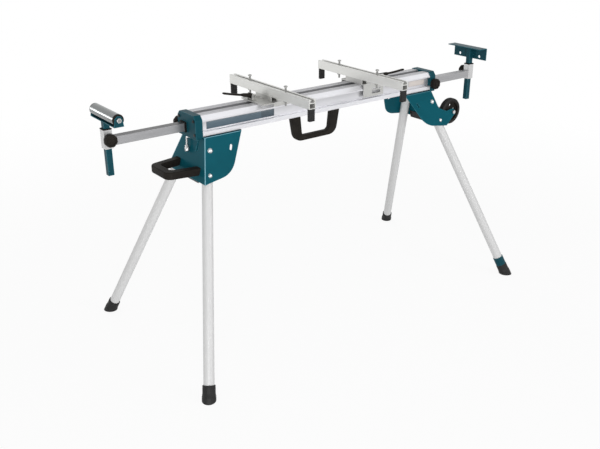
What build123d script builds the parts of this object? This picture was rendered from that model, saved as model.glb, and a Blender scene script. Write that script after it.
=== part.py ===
from build123d import *
import os
from math import cos, radians, sin, tan

os.makedirs("parts", exist_ok=True)

# Clearances and cuts
slide_gap = 0.3  # beside every face that slides or swings past another
turn_gap = 0.05  # round every shaft that turns in its hole
push_gap = 0.05  # round a piece that is pushed or clamped onto another
overrun = 10.0  # how far each cut runs past the face that it leaves

# Beam, an extrusion along X that stands on the four legs
beam_length = 1000.0
beam_height = 725.0  # floor to the underside of the beam
foot_half = 54.0
foot_rise = 14.0
waist_half = 41.0
waist_rise = 32.0
lip_half = 52.0
lip_rise = 4.0
bevel_rise = 14.5
crown_half = 41.0
beam_wall = 4.0
beam_web = 2.0
channel_rise = 36.0
roof_wall = 3.5
chamber_inner = 15.0
groove_width = 26.0
groove_depth = 8.0
line_offset = 27.0
line_width = 1.5
line_depth = 0.8

# Beam end caps
cap_length = 25.0
cap_half = 55.0
cap_drop = 8.0
cap_margin = 2.5
cap_corner = 3.0
cap_relief = 3.5  # set back above the sloping end plate
cap_pocket = 14.0
cap_pocket_wall = 5.0
cap_screw_radius = 2.5
cap_screw_head_radius = 4.5
cap_screw_head_height = 3.0
cap_screw_grip = 15.0
cap_boss_wall = 3.0
cap_boss_length = 7.0

# Extension arms and their collars
arm_side = 26.0
arm_wall = 2.0
arm_length = 900.0
arm_reach_left = 771.0  # beam centre to the outer end of the tube
arm_reach_right = 745.0
arm_web_gap = 1.0
arm_lift = 6.0
glide_length = 30.0
collar_side = 26.0
collar_drop = 8.0
collar_rise = 23.5

# Upright posts
post_side = 18.0
post_wall = 1.5
post_drop = 82.0  # beam underside down to the foot of each post

# Clamping knobs
knob_radius = 20.0
knob_length = 18.0
knob_lobes = 8
knob_scallop_radius = 5.0
knob_scallop_share = 1.19
knob_neck_radius = 9.0
knob_neck_length = 4.0
knob_edge = 2.0
stud_radius = 4.0

# Roller support at the left
roller_radius = 17.5
roller_wall = 2.0
roller_length = 158.0
roller_end_gap = 0.5
cradle_sheet = 2.0
cradle_half = 15.0
cradle_eye_radius = 12.0
cradle_rise = 22.5  # crown of the beam up to the cradle's underside
roller_plug_length = 9.0
roller_plug_flange = 3.0
axle_radius = 4.0
axle_tip = 2.0
nut_flats = 13.0
nut_thickness = 6.0

# Stop angle at the right
stop_sheet = 3.0
stop_rise = 17.5  # crown of the beam up to the lower edge of the plate
stop_height = 48.0
stop_flange = 43.0
stop_length = 163.0
stop_shift = 6.5
stop_hole_radius = 5.5
stop_hole_spacing = 99.0
stop_hole_rise = 11.5
stop_hole_shift = 8.5
stop_bend = 4.0

# Leg brackets, folded from sheet
sheet = 3.0
bracket_inboard = 362.0
bracket_reach = 498.4
bracket_half = 61.1
bracket_drop = 133.0
bracket_knee_inset = 72.0
bracket_knee_drop = 118.5
bracket_knee_radius = 80.0
bracket_bend = 4.0
end_lean = 16.9  # degrees, end plate from upright
side_lean = 23.2  # degrees, side flanges from upright
cross_plate_half = 72.0
cross_plate_height = 28.0
cross_plate_proud = 5.0
slot_width = 10.0
slot_length = 38.0
slot_offset = 32.0
slot_drop = 33.0
fold_slot_inboard = 77.0
fold_slot_drop = 3.0
fold_slot_width = 9.0
fold_slot_length = 20.0
fold_slot_lean = 24.0  # degrees, from upright in the flange

# Legs
leg_radius = 17.0
leg_wall = 1.5
leg_gap = 0.5
pivot_drop = 48.5
pivot_bolt_radius = 5.0
pivot_head_radius = 8.0
pivot_head_height = 5.5
pivot_nut_radius = 8.5
pivot_nut_height = 6.0
pivot_bolt_tail = 2.0
stop_bolt_distance = 78.0
stop_bolt_radius = 4.0
stop_bolt_tip = 0.1
stop_head_radius = 6.5
stop_head_height = 5.0
leg_end_height = 20.0
boot_length = 60.0
boot_top_radius = 20.0
boot_sole_radius = 24.0
boot_flare = 14.0
short_boot_length = 44.0
sleeve_length = 33.0
sleeve_radius = 19.5

# Fixing screws
screw_radius = 3.0
screw_head_radius = 5.0
screw_head_height = 5.0
screw_grip = 3.5  # length held in the beam's floor
bracket_screw_inset_a = 26.0
bracket_screw_inset_b = 100.0
bracket_screw_offset = 25.0

# Carry handle under the beam
carry_centre = -18.0
carry_top_half = 109.5
carry_low_half = 91.0
carry_drop = 104.0
carry_gap_top_half = 70.0
carry_gap_low_half = 60.0
carry_bar = 19.0
carry_half_width = 11.0
carry_outer_radius = 36.0
carry_inner_radius = 14.0
carry_edge = 5.0
carry_seat_drop = 20.0
carry_screw_inset = 19.0

# Loop handle on the left end plate
loop_reach = 636.0
loop_root_half = 76.0
loop_tip_half = 57.0
loop_band = 28.0
loop_thickness = 24.0
loop_drop = 103.0
loop_corner = 26.0
loop_inner_corner = 12.0
loop_edge = 4.0
loop_screw_offset = 60.0
loop_screw_grip = 22.0

# Pull pin on the left end plate
pin_wire_radius = 3.2
pin_hook_offset = 11.0
pin_hook_drop = 18.0
pin_bend_offset = 27.0
pin_bend_drop = 18.5
pin_collar_offset = 15.5
pin_collar_drop = 45.0
pin_collar_radius = 7.0
pin_collar_length = 20.0
pin_bend_radius = 7.0
pin_stand = 8.5
pin_shank_length = 14.0

# Wheels at the right
wheel_radius = 50.0
wheel_width = 22.0
tyre_depth = 11.0
wheel_offset = 589.0
wheel_drop = 91.0
wheel_axle_radius = 5.0
wheel_axle_head_radius = 6.5
wheel_axle_head_length = 4.0
wheel_shoulder_radius = 8.0
wheel_shoulder_length = 3.0
wheel_hub_radius = 12.0
wheel_web = 8.0
wheel_rim = 4.0
wheel_windows = 5
wheel_window_radius = 6.5
tyre_edge = 4.0
eye_radius = 11.5
arm_top_drop = 66.0
arm_waist_reach = 556.0
arm_waist_drop = 84.0
arm_waist_radius = 30.0
arm_root_reach = 566.0
arm_root_drop = 117.0
arm_root_radius = 30.0

# Saw bars
bar_width = 25.0
bar_rise = 30.0
bar_length = 448.6
bar_front = 245.6
bar_wall = 2.5
bar_slot = 9.0
bar_slot_depth = 3.0
bar_tee_width = 17.0
bar_tee_depth = 7.0
bar_shelf = 3.0
bar_centre_left = -221.5
bar_centre_right = 172.5
bar_foot_width = 22.0
bar_foot_depth = 12.0
bar_foot_drop = 39.5
saw_bolt_back = 95.0
saw_bolt_front = 108.0
saw_bolt_radius = 3.5
saw_bolt_above = 13.0
saw_bolt_below = 18.0
saw_head_radius = 6.5
saw_head_height = 4.0
saw_nut_thickness = 5.5

# Sliding mount brackets
mount_inner = 160.0
mount_outer = 284.0
mount_long = 67.0
mount_sheet = 4.0
mount_flange_sheet = 3.2
mount_flange_outer = 255.0
mount_flange_drop = 43.5
mount_lip_drop = 8.5
mount_lip_outer = 240.0
window_inner = 200.0
window_outer = 240.0
window_rise = 20.0
window_drop = 14.5
hook_reach = 8.0
hook_sheet = 4.0
riser_rise = 13.7
riser_half_length = 44.0
riser_wall = 3.0
ear_centre = 268.0
ear_half = 8.0
ear_near = 4.0
ear_far = 32.0
ear_sheet = 3.0
pin_radius = 3.0
pin_end = 2.0

# Cam levers
cam_radius = 8.0
cam_offset = 1.5
cam_pin_rise = 12.2
lever_length = 100.0
lever_skew = 18.0  # degrees, in plan
lever_tilt = 8.5  # degrees, up from level
lever_thickness = 7.0
lever_root_half = 8.0
lever_waist_half = 6.0
lever_tip_half = 8.0
lever_boss_length = 36.0
lever_boss_thickness = 13.0
shoe_length = 12.0
shoe_width = 12.0

# Heights and faces that follow from the sizes above
rail_z = beam_height + foot_rise
lip_z = rail_z + waist_rise
lip_top_z = lip_z + lip_rise
crown_z = lip_top_z + bevel_rise
channel_z = beam_height + beam_wall
channel_top_z = channel_z + channel_rise
channel_half = waist_half - beam_wall
chamber_z = channel_top_z + beam_wall
arm_z = channel_z + arm_lift
arm_mid_z = arm_z + arm_side / 2
arm_inner_y = beam_web / 2 + arm_web_gap
arm_mid_y = arm_inner_y + arm_side / 2
post_hole = post_side + 2 * slide_gap
collar_z = arm_z - collar_drop
collar_top_z = arm_z + arm_side + collar_rise
collar_mid_z = (collar_z + collar_top_z) / 2
collar_centre_left = arm_reach_left + collar_side / 2
collar_centre_right = arm_reach_right + collar_side / 2
post_z = beam_height - post_drop
cradle_z = crown_z + cradle_rise
roller_z = cradle_z + cradle_sheet + roller_end_gap + roller_radius
stop_z = crown_z + stop_rise
end_tan = tan(radians(end_lean))
side_tan = tan(radians(side_lean))
end_cos = cos(radians(end_lean))
side_cos = cos(radians(side_lean))
mount_z = crown_z + slide_gap
mount_top_z = mount_z + mount_sheet
bar_z = mount_top_z + riser_rise
pin_z = mount_top_z + cam_pin_rise
mount_short = lip_half + slide_gap + mount_flange_sheet
half_turn = 180
full_turn = 360


def end_x(z):
    """Outer face of an end plate at a height, as a distance from the beam's centre."""
    return bracket_reach + (beam_height - z) * end_tan


def side_y(z):
    """Outer face of a bracket's side flange at a height, as a distance from the centre plane."""
    return bracket_half + (beam_height - z) * side_tan


def block(low, high):
    """A box between its two opposite corners."""
    size = [top - bottom for bottom, top in zip(low, high)]
    return Pos(*low) * Box(*size, align=(Align.MIN, Align.MIN, Align.MIN))


def rod(start, end, radius):
    """A round bar between two points."""
    way = Vector(*end) - Vector(*start)
    return extrude(Plane(start, z_dir=way) * Circle(radius), amount=way.length, dir=way)


def across_x(x):
    """A plane square to X, whose own axes are Y and Z."""
    return Plane((x, 0, 0), x_dir=(0, 1, 0), z_dir=(1, 0, 0))


def across_y(y):
    """A plane square to Y, whose own axes are X and Z; it draws out towards the front."""
    return Plane((0, y, 0), x_dir=(1, 0, 0), z_dir=(0, -1, 0))


def prism(points, plane, depth, radii=None):
    """An outline, with rounded corners where radii says, drawn out along its plane's normal."""
    if radii is None:
        outline = Polyline(*points, close=True)
    else:
        outline = FilletPolyline(*points, radius=radii, close=True)
    return extrude(plane * make_face(outline), amount=depth, dir=plane.z_dir)


def both_sides(points):
    """An outline's right half followed by its mirror image."""
    return points + [(-y, z) for y, z in reversed(points)]


def hexagon(flats, start, end, bore):
    """A six-sided nut round a shaft that runs from start to end."""
    way = Vector(*end) - Vector(*start)
    seat = Plane(start, z_dir=way)
    nut = RegularPolygon(flats / 2, 6, major_radius=False) - Circle(bore)
    return extrude(seat * nut, amount=way.length, dir=way)


def turned(shape, side):
    """The right-hand shape, or the same shape turned half round for the left end."""
    return shape if side > 0 else Rot(0, 0, half_turn) * shape


def in_corner(shape, side, row):
    """The shape of the back right corner, mirrored into the corner that is asked for."""
    if side < 0:
        shape = mirror(shape, about=Plane.YZ)
    return shape if row > 0 else mirror(shape, about=Plane.XZ)


def side_faces(shape):
    """The edges round the top and bottom of a flat piece."""
    levels = shape.edges().group_by(Axis.Z)
    return levels[0] + levels[-1]


# Leg frame of the back right corner
pivot_z = beam_height - pivot_drop
leg_inset = sheet + leg_gap + leg_radius
side_normal = Vector(0, side_cos, sin(radians(side_lean)))
end_normal = Vector(end_cos, 0, sin(radians(end_lean)))
leg_way = Vector(end_tan, side_tan, -1).normalized()
pivot = Vector(end_x(pivot_z) - leg_inset / end_cos, side_y(pivot_z) - leg_inset / side_cos, pivot_z)
leg_length = pivot_z / -leg_way.Z
sole = pivot + leg_way * leg_length
wheel_z = beam_height - wheel_drop
wheel_face = side_y(wheel_z + eye_radius) - sheet / side_cos - slide_gap
bracket_z = beam_height - bracket_drop
end_plane = Plane((bracket_reach, 0, beam_height), x_dir=(0, 1, 0), z_dir=end_normal)
corners = [(side, row) for side in (-1, 1) for row in (-1, 1)]


def bracket_screws():
    """Where the right-hand bracket's screws cross its web, as X and Y."""
    insets = (bracket_screw_inset_a, bracket_screw_inset_b)
    offsets = (-bracket_screw_offset, bracket_screw_offset)
    return [(bracket_inboard + inset, offset) for inset in insets for offset in offsets]


def frame_screw_places():
    """Each screw that holds something under the beam, as X, Y and the height of its head's seat."""
    seat = beam_height - sheet
    places = [(side * x, y, seat) for side in (-1, 1) for x, y in bracket_screws()]
    handle_seat = beam_height - carry_seat_drop
    reach = carry_top_half - carry_screw_inset
    return places + [(carry_centre + side * reach, 0, handle_seat) for side in (-1, 1)]


def cap_screw_places():
    """Where the cap's screws enter the beam's end, as Y and Z."""
    low = ((foot_half + waist_half) / 2, beam_height + foot_rise / 2)
    high = ((channel_half + lip_half) / 2, lip_top_z)
    return [(side * y, z) for y, z in (low, high) for side in (-1, 1)]


def screw_hole(x, y, z, radius):
    """A vertical hole from a head's seat up into the beam's floor."""
    return rod((x, y, z - overrun), (x, y, beam_height + screw_grip), radius)


def main_beam():
    """The beam's extrusion, with its two arm channels, chambers and top groove."""
    half = [(foot_half, beam_height), (foot_half, rail_z), (waist_half, rail_z), (waist_half, lip_z)]
    half += [(lip_half, lip_z), (lip_half, lip_top_z), (crown_half, crown_z)]
    end = beam_length / 2
    beam = prism(both_sides(half), across_x(-end), beam_length)
    far = end + overrun
    groove_z = crown_z - groove_depth
    chamber_top = crown_z - roof_wall
    middle = chamber_inner - beam_wall
    beam -= block((-far, -groove_width / 2, groove_z), (far, groove_width / 2, crown_z + overrun))
    beam -= block((-far, -middle, chamber_z), (far, middle, groove_z - roof_wall))
    for side in (-1, 1):
        channel = block((-far, beam_web / 2, channel_z), (far, channel_half, channel_top_z))
        chamber = block((-far, chamber_inner, chamber_z), (far, channel_half, chamber_top))
        line_low = (-far, line_offset - line_width / 2, crown_z - line_depth)
        line = block(line_low, (far, line_offset + line_width / 2, crown_z + overrun))
        for cut in (channel, chamber, line):
            beam -= cut if side > 0 else mirror(cut, about=Plane.XZ)
        for y, z in cap_screw_places():
            start = (side * (end - cap_screw_grip), y, z)
            beam -= rod(start, (side * far, y, z), cap_screw_radius + push_gap)
    for x, y, z in frame_screw_places():
        beam -= screw_hole(x, y, z, screw_radius + push_gap)
    return beam


def beam_cap(side):
    """The casting on one end of the beam, which guides that end's arm."""
    start = beam_length / 2
    end = start + cap_length
    half = [(cap_half, beam_height - cap_drop), (cap_half, lip_top_z + cap_margin)]
    half += [(crown_half + cap_margin, crown_z + cap_margin)]
    cap = prism(both_sides(half), across_x(start), cap_length, cap_corner)
    wide = slide_gap + cap_boss_wall
    boss_low = (start + cap_length / 2, -arm_inner_y - arm_side - wide, arm_z - wide)
    cap += block(boss_low, (end + cap_boss_length, wide - arm_inner_y, arm_z + arm_side + wide))
    low = (start - overrun, -arm_inner_y - arm_side - slide_gap, arm_z - slide_gap)
    cap -= block(low, (end + overrun, slide_gap - arm_inner_y, arm_z + arm_side + slide_gap))
    pocket_low = (start - overrun, cap_pocket_wall, channel_z)
    cap -= block(pocket_low, (start + cap_pocket, channel_half, channel_top_z))
    relief_low = (start - overrun, -cap_half - overrun, beam_height - cap_drop - overrun)
    cap -= block(relief_low, (start + cap_relief, cap_half + overrun, beam_height))
    knob_x = start + cap_length / 2
    stud_start = (knob_x, -arm_mid_y, arm_mid_z)
    cap -= rod(stud_start, (knob_x, -cap_half - overrun, arm_mid_z), stud_radius + turn_gap)
    for y, z in cap_screw_places():
        hole = rod((start - overrun, y, z), (end + overrun, y, z), cap_screw_radius + push_gap)
        cap -= hole
    return turned(cap, side)


def cap_screws():
    """The screws that hold both end caps."""
    start = beam_length / 2
    end = start + cap_length
    screws = []
    for side in (-1, 1):
        for y, z in cap_screw_places():
            shank = rod((start - cap_screw_grip, y, z), (end, y, z), cap_screw_radius)
            head = rod((end, y, z), (end + cap_screw_head_height, y, z), cap_screw_head_radius)
            screws.append(turned(shank + head, side))
    return screws


def arm_tube(side, reach):
    """The square tube that slides out of one end of the beam."""
    low = (reach - arm_length, -arm_inner_y - arm_side, arm_z)
    tube = block(low, (reach, -arm_inner_y, arm_z + arm_side))
    core_low = (low[0] - overrun, low[1] + arm_wall, low[2] + arm_wall)
    core_high = (reach + overrun, -arm_inner_y - arm_wall, arm_z + arm_side - arm_wall)
    return turned(tube - block(core_low, core_high), side)


def arm_glide(side, reach):
    """The sliding block round the arm's inner end, which runs in the beam's channel."""
    start = reach - arm_length
    low = (start, slide_gap - channel_half, channel_z + slide_gap)
    high = (start + glide_length, -beam_web / 2 - slide_gap, channel_top_z - slide_gap)
    hole_low = (start - overrun, -arm_inner_y - arm_side - push_gap, arm_z - push_gap)
    hole_high = (start + glide_length + overrun, push_gap - arm_inner_y, arm_z + arm_side + push_gap)
    return turned(block(low, high) - block(hole_low, hole_high), side)


def post_collar(side, reach):
    """The square socket on the arm's outer end that holds the upright post."""
    centre = reach + collar_side / 2
    half = collar_side / 2
    low = (centre - half, -arm_mid_y - half, collar_z)
    collar = block(low, (centre + half, half - arm_mid_y, collar_top_z))
    hole = post_hole / 2
    hole_low = (centre - hole, -arm_mid_y - hole, collar_z - overrun)
    collar -= block(hole_low, (centre + hole, hole - arm_mid_y, collar_top_z + overrun))
    stud_end = (centre, half - arm_mid_y + overrun, collar_mid_z)
    collar -= rod((centre, -arm_mid_y, collar_mid_z), stud_end, stud_radius + turn_gap)
    return turned(collar, side)


def knob(stud_reach):
    """A lobed hand knob whose seat is at the origin, with its stud running in towards the front."""
    ring = knob_radius * knob_scallop_share
    face = Circle(knob_radius)
    for spot in PolarLocations(ring, knob_lobes):
        face -= spot * Circle(knob_scallop_radius)
    back = slide_gap + knob_neck_length
    body = extrude(Plane((0, back, 0), z_dir=(0, 1, 0)) * face, amount=knob_length, dir=(0, 1, 0))
    rims = body.edges().group_by(Axis.Y)
    body = fillet(rims[-1], knob_edge)
    body += rod((0, slide_gap, 0), (0, back, 0), knob_neck_radius)
    return body + rod((0, -stud_reach, 0), (0, slide_gap, 0), stud_radius)


def arm_lock_knob(side):
    """The knob in one end cap that clamps the arm."""
    reach = cap_half - arm_inner_y - arm_side - slide_gap
    centre = beam_length / 2 + cap_length / 2
    piece = Rot(0, 0, half_turn) * knob(reach)
    return turned(Pos(centre, -cap_half, arm_mid_z) * piece, side)


def post_lock_knob(side, reach):
    """The knob in one collar that clamps the post."""
    face = collar_side / 2 - arm_mid_y
    stud = (collar_side - post_side) / 2 - slide_gap
    return turned(Pos(reach + collar_side / 2, face, collar_mid_z) * knob(stud), side)


def post(side, reach, top_z):
    """A square upright tube through one collar."""
    centre = reach + collar_side / 2
    half = post_side / 2
    inner = half - post_wall
    tube = block((centre - half, -arm_mid_y - half, post_z), (centre + half, half - arm_mid_y, top_z))
    low = (centre - inner, -arm_mid_y - inner, post_z - overrun)
    return turned(tube - block(low, (centre + inner, inner - arm_mid_y, top_z + overrun)), side)


def at_roller(shape):
    """A roller piece, made about the origin, moved over the beam's centre plane at the left post."""
    return Pos(-collar_centre_left, 0, roller_z) * shape


ear_face = roller_length / 2 + roller_end_gap
cradle_end = ear_face + cradle_sheet


def roller_cradle():
    """The folded sheet under the roller, with a rounded ear at each end."""
    low_z = cradle_z - roller_z
    cradle = block((-cradle_half, -cradle_end, low_z), (cradle_half, cradle_end, low_z + cradle_sheet))
    for side in (-1, 1):
        inner, outer = side * ear_face, side * cradle_end
        near, far = min(inner, outer), max(inner, outer)
        sides = [(cradle_half, low_z), (cradle_half, low_z + cradle_sheet), (cradle_eye_radius, 0)]
        cradle += prism(both_sides(sides), across_y(far), far - near)
        cradle += rod((0, near, 0), (0, far, 0), cradle_eye_radius)
    bore = axle_radius + push_gap
    return at_roller(cradle - rod((0, -cradle_end - overrun, 0), (0, cradle_end + overrun, 0), bore))


def roller_axle():
    """The fixed axle through both ears."""
    end = cradle_end + nut_thickness + axle_tip
    return at_roller(rod((0, -end, 0), (0, end, 0), axle_radius))


def roller_nuts():
    """The two nuts on the roller's axle."""
    end = cradle_end + nut_thickness
    bore = axle_radius + push_gap
    sides = (-1, 1)
    return [at_roller(hexagon(nut_flats, (0, s * cradle_end, 0), (0, s * end, 0), bore)) for s in sides]


def roller_tube():
    """The steel tube that the workpiece rolls on."""
    end = roller_length / 2 - roller_plug_flange
    tube = rod((0, -end, 0), (0, end, 0), roller_radius)
    bore = rod((0, -end - overrun, 0), (0, end + overrun, 0), roller_radius - roller_wall)
    return at_roller(tube - bore)


def roller_end_plugs():
    """The two flanged plain bearings pushed into the roller's ends."""
    plugs = []
    end = roller_length / 2
    for side in (-1, 1):
        start = (0, side * (end - roller_plug_length), 0)
        rim = (0, side * (end - roller_plug_flange), 0)
        plug = rod(start, (0, side * end, 0), roller_radius - roller_wall - push_gap)
        plug += rod(rim, (0, side * end, 0), roller_radius)
        bore = rod((0, 0, 0), (0, side * (end + overrun), 0), axle_radius + turn_gap)
        plugs.append(at_roller(plug - bore))
    return plugs


def stop_angle():
    """The angle plate on the right post, with two holes for a fence or a board."""
    face = collar_centre_right + post_side / 2
    out = face + stop_sheet
    top = stop_z + stop_height
    middle = stop_shift - arm_mid_y
    points = [(face, stop_z), (out, stop_z), (out, top), (out - stop_flange, top)]
    points += [(out - stop_flange, top - stop_sheet), (face, top - stop_sheet)]
    radii = [0, 0, stop_bend, 0, 0, 0]
    plate = prism(points, across_y(middle + stop_length / 2), stop_length, radii)
    for side in (-1, 1):
        y = stop_hole_shift - arm_mid_y + side * stop_hole_spacing / 2
        z = stop_z + stop_hole_rise
        plate -= rod((face - overrun, y, z), (out + overrun, y, z), stop_hole_radius)
    return plate


def bracket_section(inset, below):
    """The bracket's cross-section in Y and Z, moved in by an inset and run on below its lower edge."""
    top = beam_height - inset
    low = bracket_z - below
    edge = inset / side_cos
    return both_sides([(side_y(low) - edge, low), (side_y(top) - edge, top)])


def bracket_shell(start, end):
    """The two side flanges and their web, drawn out from one X to another."""
    bends = [0, bracket_bend, bracket_bend, 0]
    outside = prism(bracket_section(0, 0), across_x(start), end - start, bends)
    section = bracket_section(sheet, overrun)
    return outside - prism(section, across_x(start - overrun), end - start + 2 * overrun)


def wheel_arms():
    """The two curved arms that carry the wheels, as part of the right side flanges."""
    top_z = beam_height - arm_top_drop
    waist_z = beam_height - arm_waist_drop
    root_z = beam_height - arm_root_drop
    points = [(end_x(top_z) - sheet, top_z), (arm_waist_reach, waist_z)]
    points += [(wheel_offset, wheel_z + eye_radius), (wheel_offset, wheel_z - eye_radius)]
    points += [(arm_root_reach, root_z)]
    points += [(end_x(bracket_z), bracket_z), (end_x(bracket_z) - sheet, bracket_z)]
    radii = [0, arm_waist_radius, 0, 0, arm_root_radius, 0, 0]
    wide = side_y(bracket_z) + overrun
    outline = prism(points, across_y(wide), 2 * wide, radii)
    outline += rod((wheel_offset, -wide, wheel_z), (wheel_offset, wide, wheel_z), eye_radius)
    reach = wheel_offset + eye_radius + overrun
    arms = bracket_shell(end_x(top_z) - sheet, reach) & outline
    bore = wheel_axle_radius + push_gap
    return arms - rod((wheel_offset, -wide, wheel_z), (wheel_offset, wide, wheel_z), bore)


def flange_hole(distance, radius):
    """A hole square through the back right flange, at a distance down the leg from its pivot."""
    middle = pivot + leg_way * distance
    return rod(middle, middle + side_normal * (leg_inset + overrun), radius)


def fold_slot():
    """The oblong hole inboard of the leg's pivot, in the back right flange."""
    middle = pivot - Vector(fold_slot_inboard, 0, 0) + leg_way * fold_slot_drop
    seat = Plane(middle, x_dir=(1, 0, 0), z_dir=side_normal)
    turn = half_turn / 2 - fold_slot_lean
    slot = seat * (Rot(0, 0, turn) * SlotOverall(fold_slot_length, fold_slot_width))
    return extrude(slot, amount=leg_inset + overrun, dir=side_normal)


def leg_bracket(side):
    """One folded bracket: a web under the beam, two side flanges and a sloping end plate."""
    reach = end_x(bracket_z)
    outline = [(bracket_inboard, beam_height), (bracket_reach, beam_height), (reach, bracket_z)]
    outline += [(bracket_inboard + bracket_knee_inset, beam_height - bracket_knee_drop)]
    wide = side_y(bracket_z) + overrun
    bends = [0, bracket_bend, bracket_bend, 0]
    section = bracket_section(0, 0)
    body = prism(section, across_x(bracket_inboard), reach - bracket_inboard, bends)
    body &= prism(outline, across_y(wide), 2 * wide, [0, 0, 0, bracket_knee_radius])
    back = sheet / end_cos
    low_z = bracket_z - overrun
    start = bracket_inboard - overrun
    room = [(start, beam_height), (bracket_reach - back, beam_height), (end_x(low_z) - back, low_z)]
    inside = prism(bracket_section(sheet, overrun), across_x(start), reach - start)
    body -= inside & prism(room + [(start, low_z)], across_y(wide), 2 * wide)
    if side > 0:
        body += wheel_arms()
    holes = [flange_hole(0, pivot_bolt_radius + push_gap), fold_slot()]
    holes += [flange_hole(stop_bolt_distance, stop_bolt_radius + push_gap)]
    for hole in holes:
        body -= hole
        body -= mirror(hole, about=Plane.XZ)
    for x, y in bracket_screws():
        body -= screw_hole(x, y, beam_height - sheet, screw_radius + push_gap)
    if side < 0:
        for cut in left_end_holes():
            body -= cut
        body = mirror(body, about=Plane.YZ)
    return body


def through_end(sketch):
    """A cut square through the right-hand end plate, from a sketch in its outer face."""
    return extrude(end_plane.offset(overrun) * sketch, amount=2 * overrun, dir=-end_normal)


def left_end_holes():
    """The left end plate's slot, pull pin hole and loop handle holes, as on the right-hand plate."""
    slot = Pos(-slot_offset, -slot_drop) * Rot(0, 0, half_turn / 2) * SlotOverall(slot_length, slot_width)
    pin = Pos(pin_hook_offset, -pin_hook_drop) * Circle(pin_wire_radius + turn_gap)
    cuts = [through_end(slot), through_end(pin)]
    for side in (-1, 1):
        spot = Pos(side * loop_screw_offset, -loop_drop / end_cos)
        cuts.append(through_end(spot * Circle(screw_radius + push_gap)))
    return cuts


def cross_plates():
    """The dark plates that stiffen the lower edge of each end plate, inside."""
    seat = Plane((end_x(bracket_z), 0, bracket_z), x_dir=(0, 1, 0), z_dir=end_normal)
    low = (-cross_plate_half, -cross_plate_proud, -2 * sheet)
    plate = seat * block(low, (cross_plate_half, cross_plate_height - cross_plate_proud, -sheet))
    return [in_corner(plate, side, 1) for side in (-1, 1)]


def frame_screws():
    """The screws under the beam and behind the loop handle."""
    screws = []
    for x, y, z in frame_screw_places():
        shank = rod((x, y, z), (x, y, beam_height + screw_grip), screw_radius)
        head = rod((x, y, z - screw_head_height), (x, y, z), screw_head_radius)
        screws.append(shank + head)
    for side in (-1, 1):
        seat = end_plane * Pos(side * loop_screw_offset, -loop_drop / end_cos, -sheet)
        shank = seat * extrude(Circle(screw_radius), amount=sheet + loop_screw_grip)
        head = seat * extrude(Circle(screw_head_radius), amount=-screw_head_height)
        screws.append(mirror(shank + head, about=Plane.YZ))
    return screws


def leg_pivot_bolts():
    """The four bolts that the legs turn on, each with its nut."""
    pieces = []
    face = pivot + side_normal * leg_inset
    back = pivot - side_normal * (leg_radius + slide_gap)
    tail = back - side_normal * pivot_nut_height
    shank = rod(tail - side_normal * pivot_bolt_tail, face, pivot_bolt_radius)
    head = rod(face, face + side_normal * pivot_head_height, pivot_head_radius)
    nut = hexagon(2 * pivot_nut_radius, back, tail, pivot_bolt_radius + push_gap)
    for side, row in corners:
        pieces += [in_corner(shank + head, side, row), in_corner(nut, side, row)]
    return pieces


def leg_stop_bolts():
    """The four lower bolts, whose tips stop just short of the legs."""
    middle = pivot + leg_way * stop_bolt_distance
    face = middle + side_normal * leg_inset
    tip = face - side_normal * (sheet + stop_bolt_tip)
    head = rod(face, face + side_normal * stop_head_height, stop_head_radius)
    bolt = head + rod(tip, face, stop_bolt_radius)
    return [in_corner(bolt, side, row) for side, row in corners]


def leg(side, row):
    """One round leg, domed about its pivot so that it clears the end plate as it folds."""
    end = sole - leg_way * leg_end_height
    tube = rod(pivot, end, leg_radius)
    tube += Pos(*pivot) * Sphere(leg_radius)
    tube -= rod(pivot - leg_way * (leg_radius + overrun), end + leg_way * overrun, leg_radius - leg_wall)
    wide = side_normal * (leg_radius + overrun)
    tube -= rod(pivot - wide, pivot + wide, pivot_bolt_radius + turn_gap)
    return in_corner(tube, side, row)


def boot(length, clearance, side, row):
    """A rubber foot round the leg's lower end, cut flat where it stands on the floor."""
    below = boot_sole_radius
    narrow = boot_flare + boot_sole_radius - boot_top_radius
    points = [(0, -below), (boot_sole_radius, -below), (boot_sole_radius, boot_flare)]
    points += [(boot_top_radius, narrow + boot_flare), (boot_top_radius, length), (0, length)]
    solid = revolve(Plane.XZ * make_face(Polyline(*points, close=True)), axis=Axis.Z)
    bore = leg_radius + clearance
    top = length + overrun
    solid -= rod((0, 0, leg_end_height - slide_gap), (0, 0, top), bore)
    solid = Plane(sole, z_dir=leg_way * -1) * solid
    reach = leg_length + overrun
    solid -= block((0, 0, -reach), (reach + sole.X, reach, 0))
    return in_corner(solid, side, row)


def foot_sleeve():
    """The painted sleeve above the adjustable boot of the front right leg."""
    start = sole - leg_way * short_boot_length
    end = start - leg_way * sleeve_length
    sleeve = rod(start, end, sleeve_radius)
    sleeve -= rod(start + leg_way * overrun, end - leg_way * overrun, leg_radius + slide_gap)
    return in_corner(sleeve, 1, -1)


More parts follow.
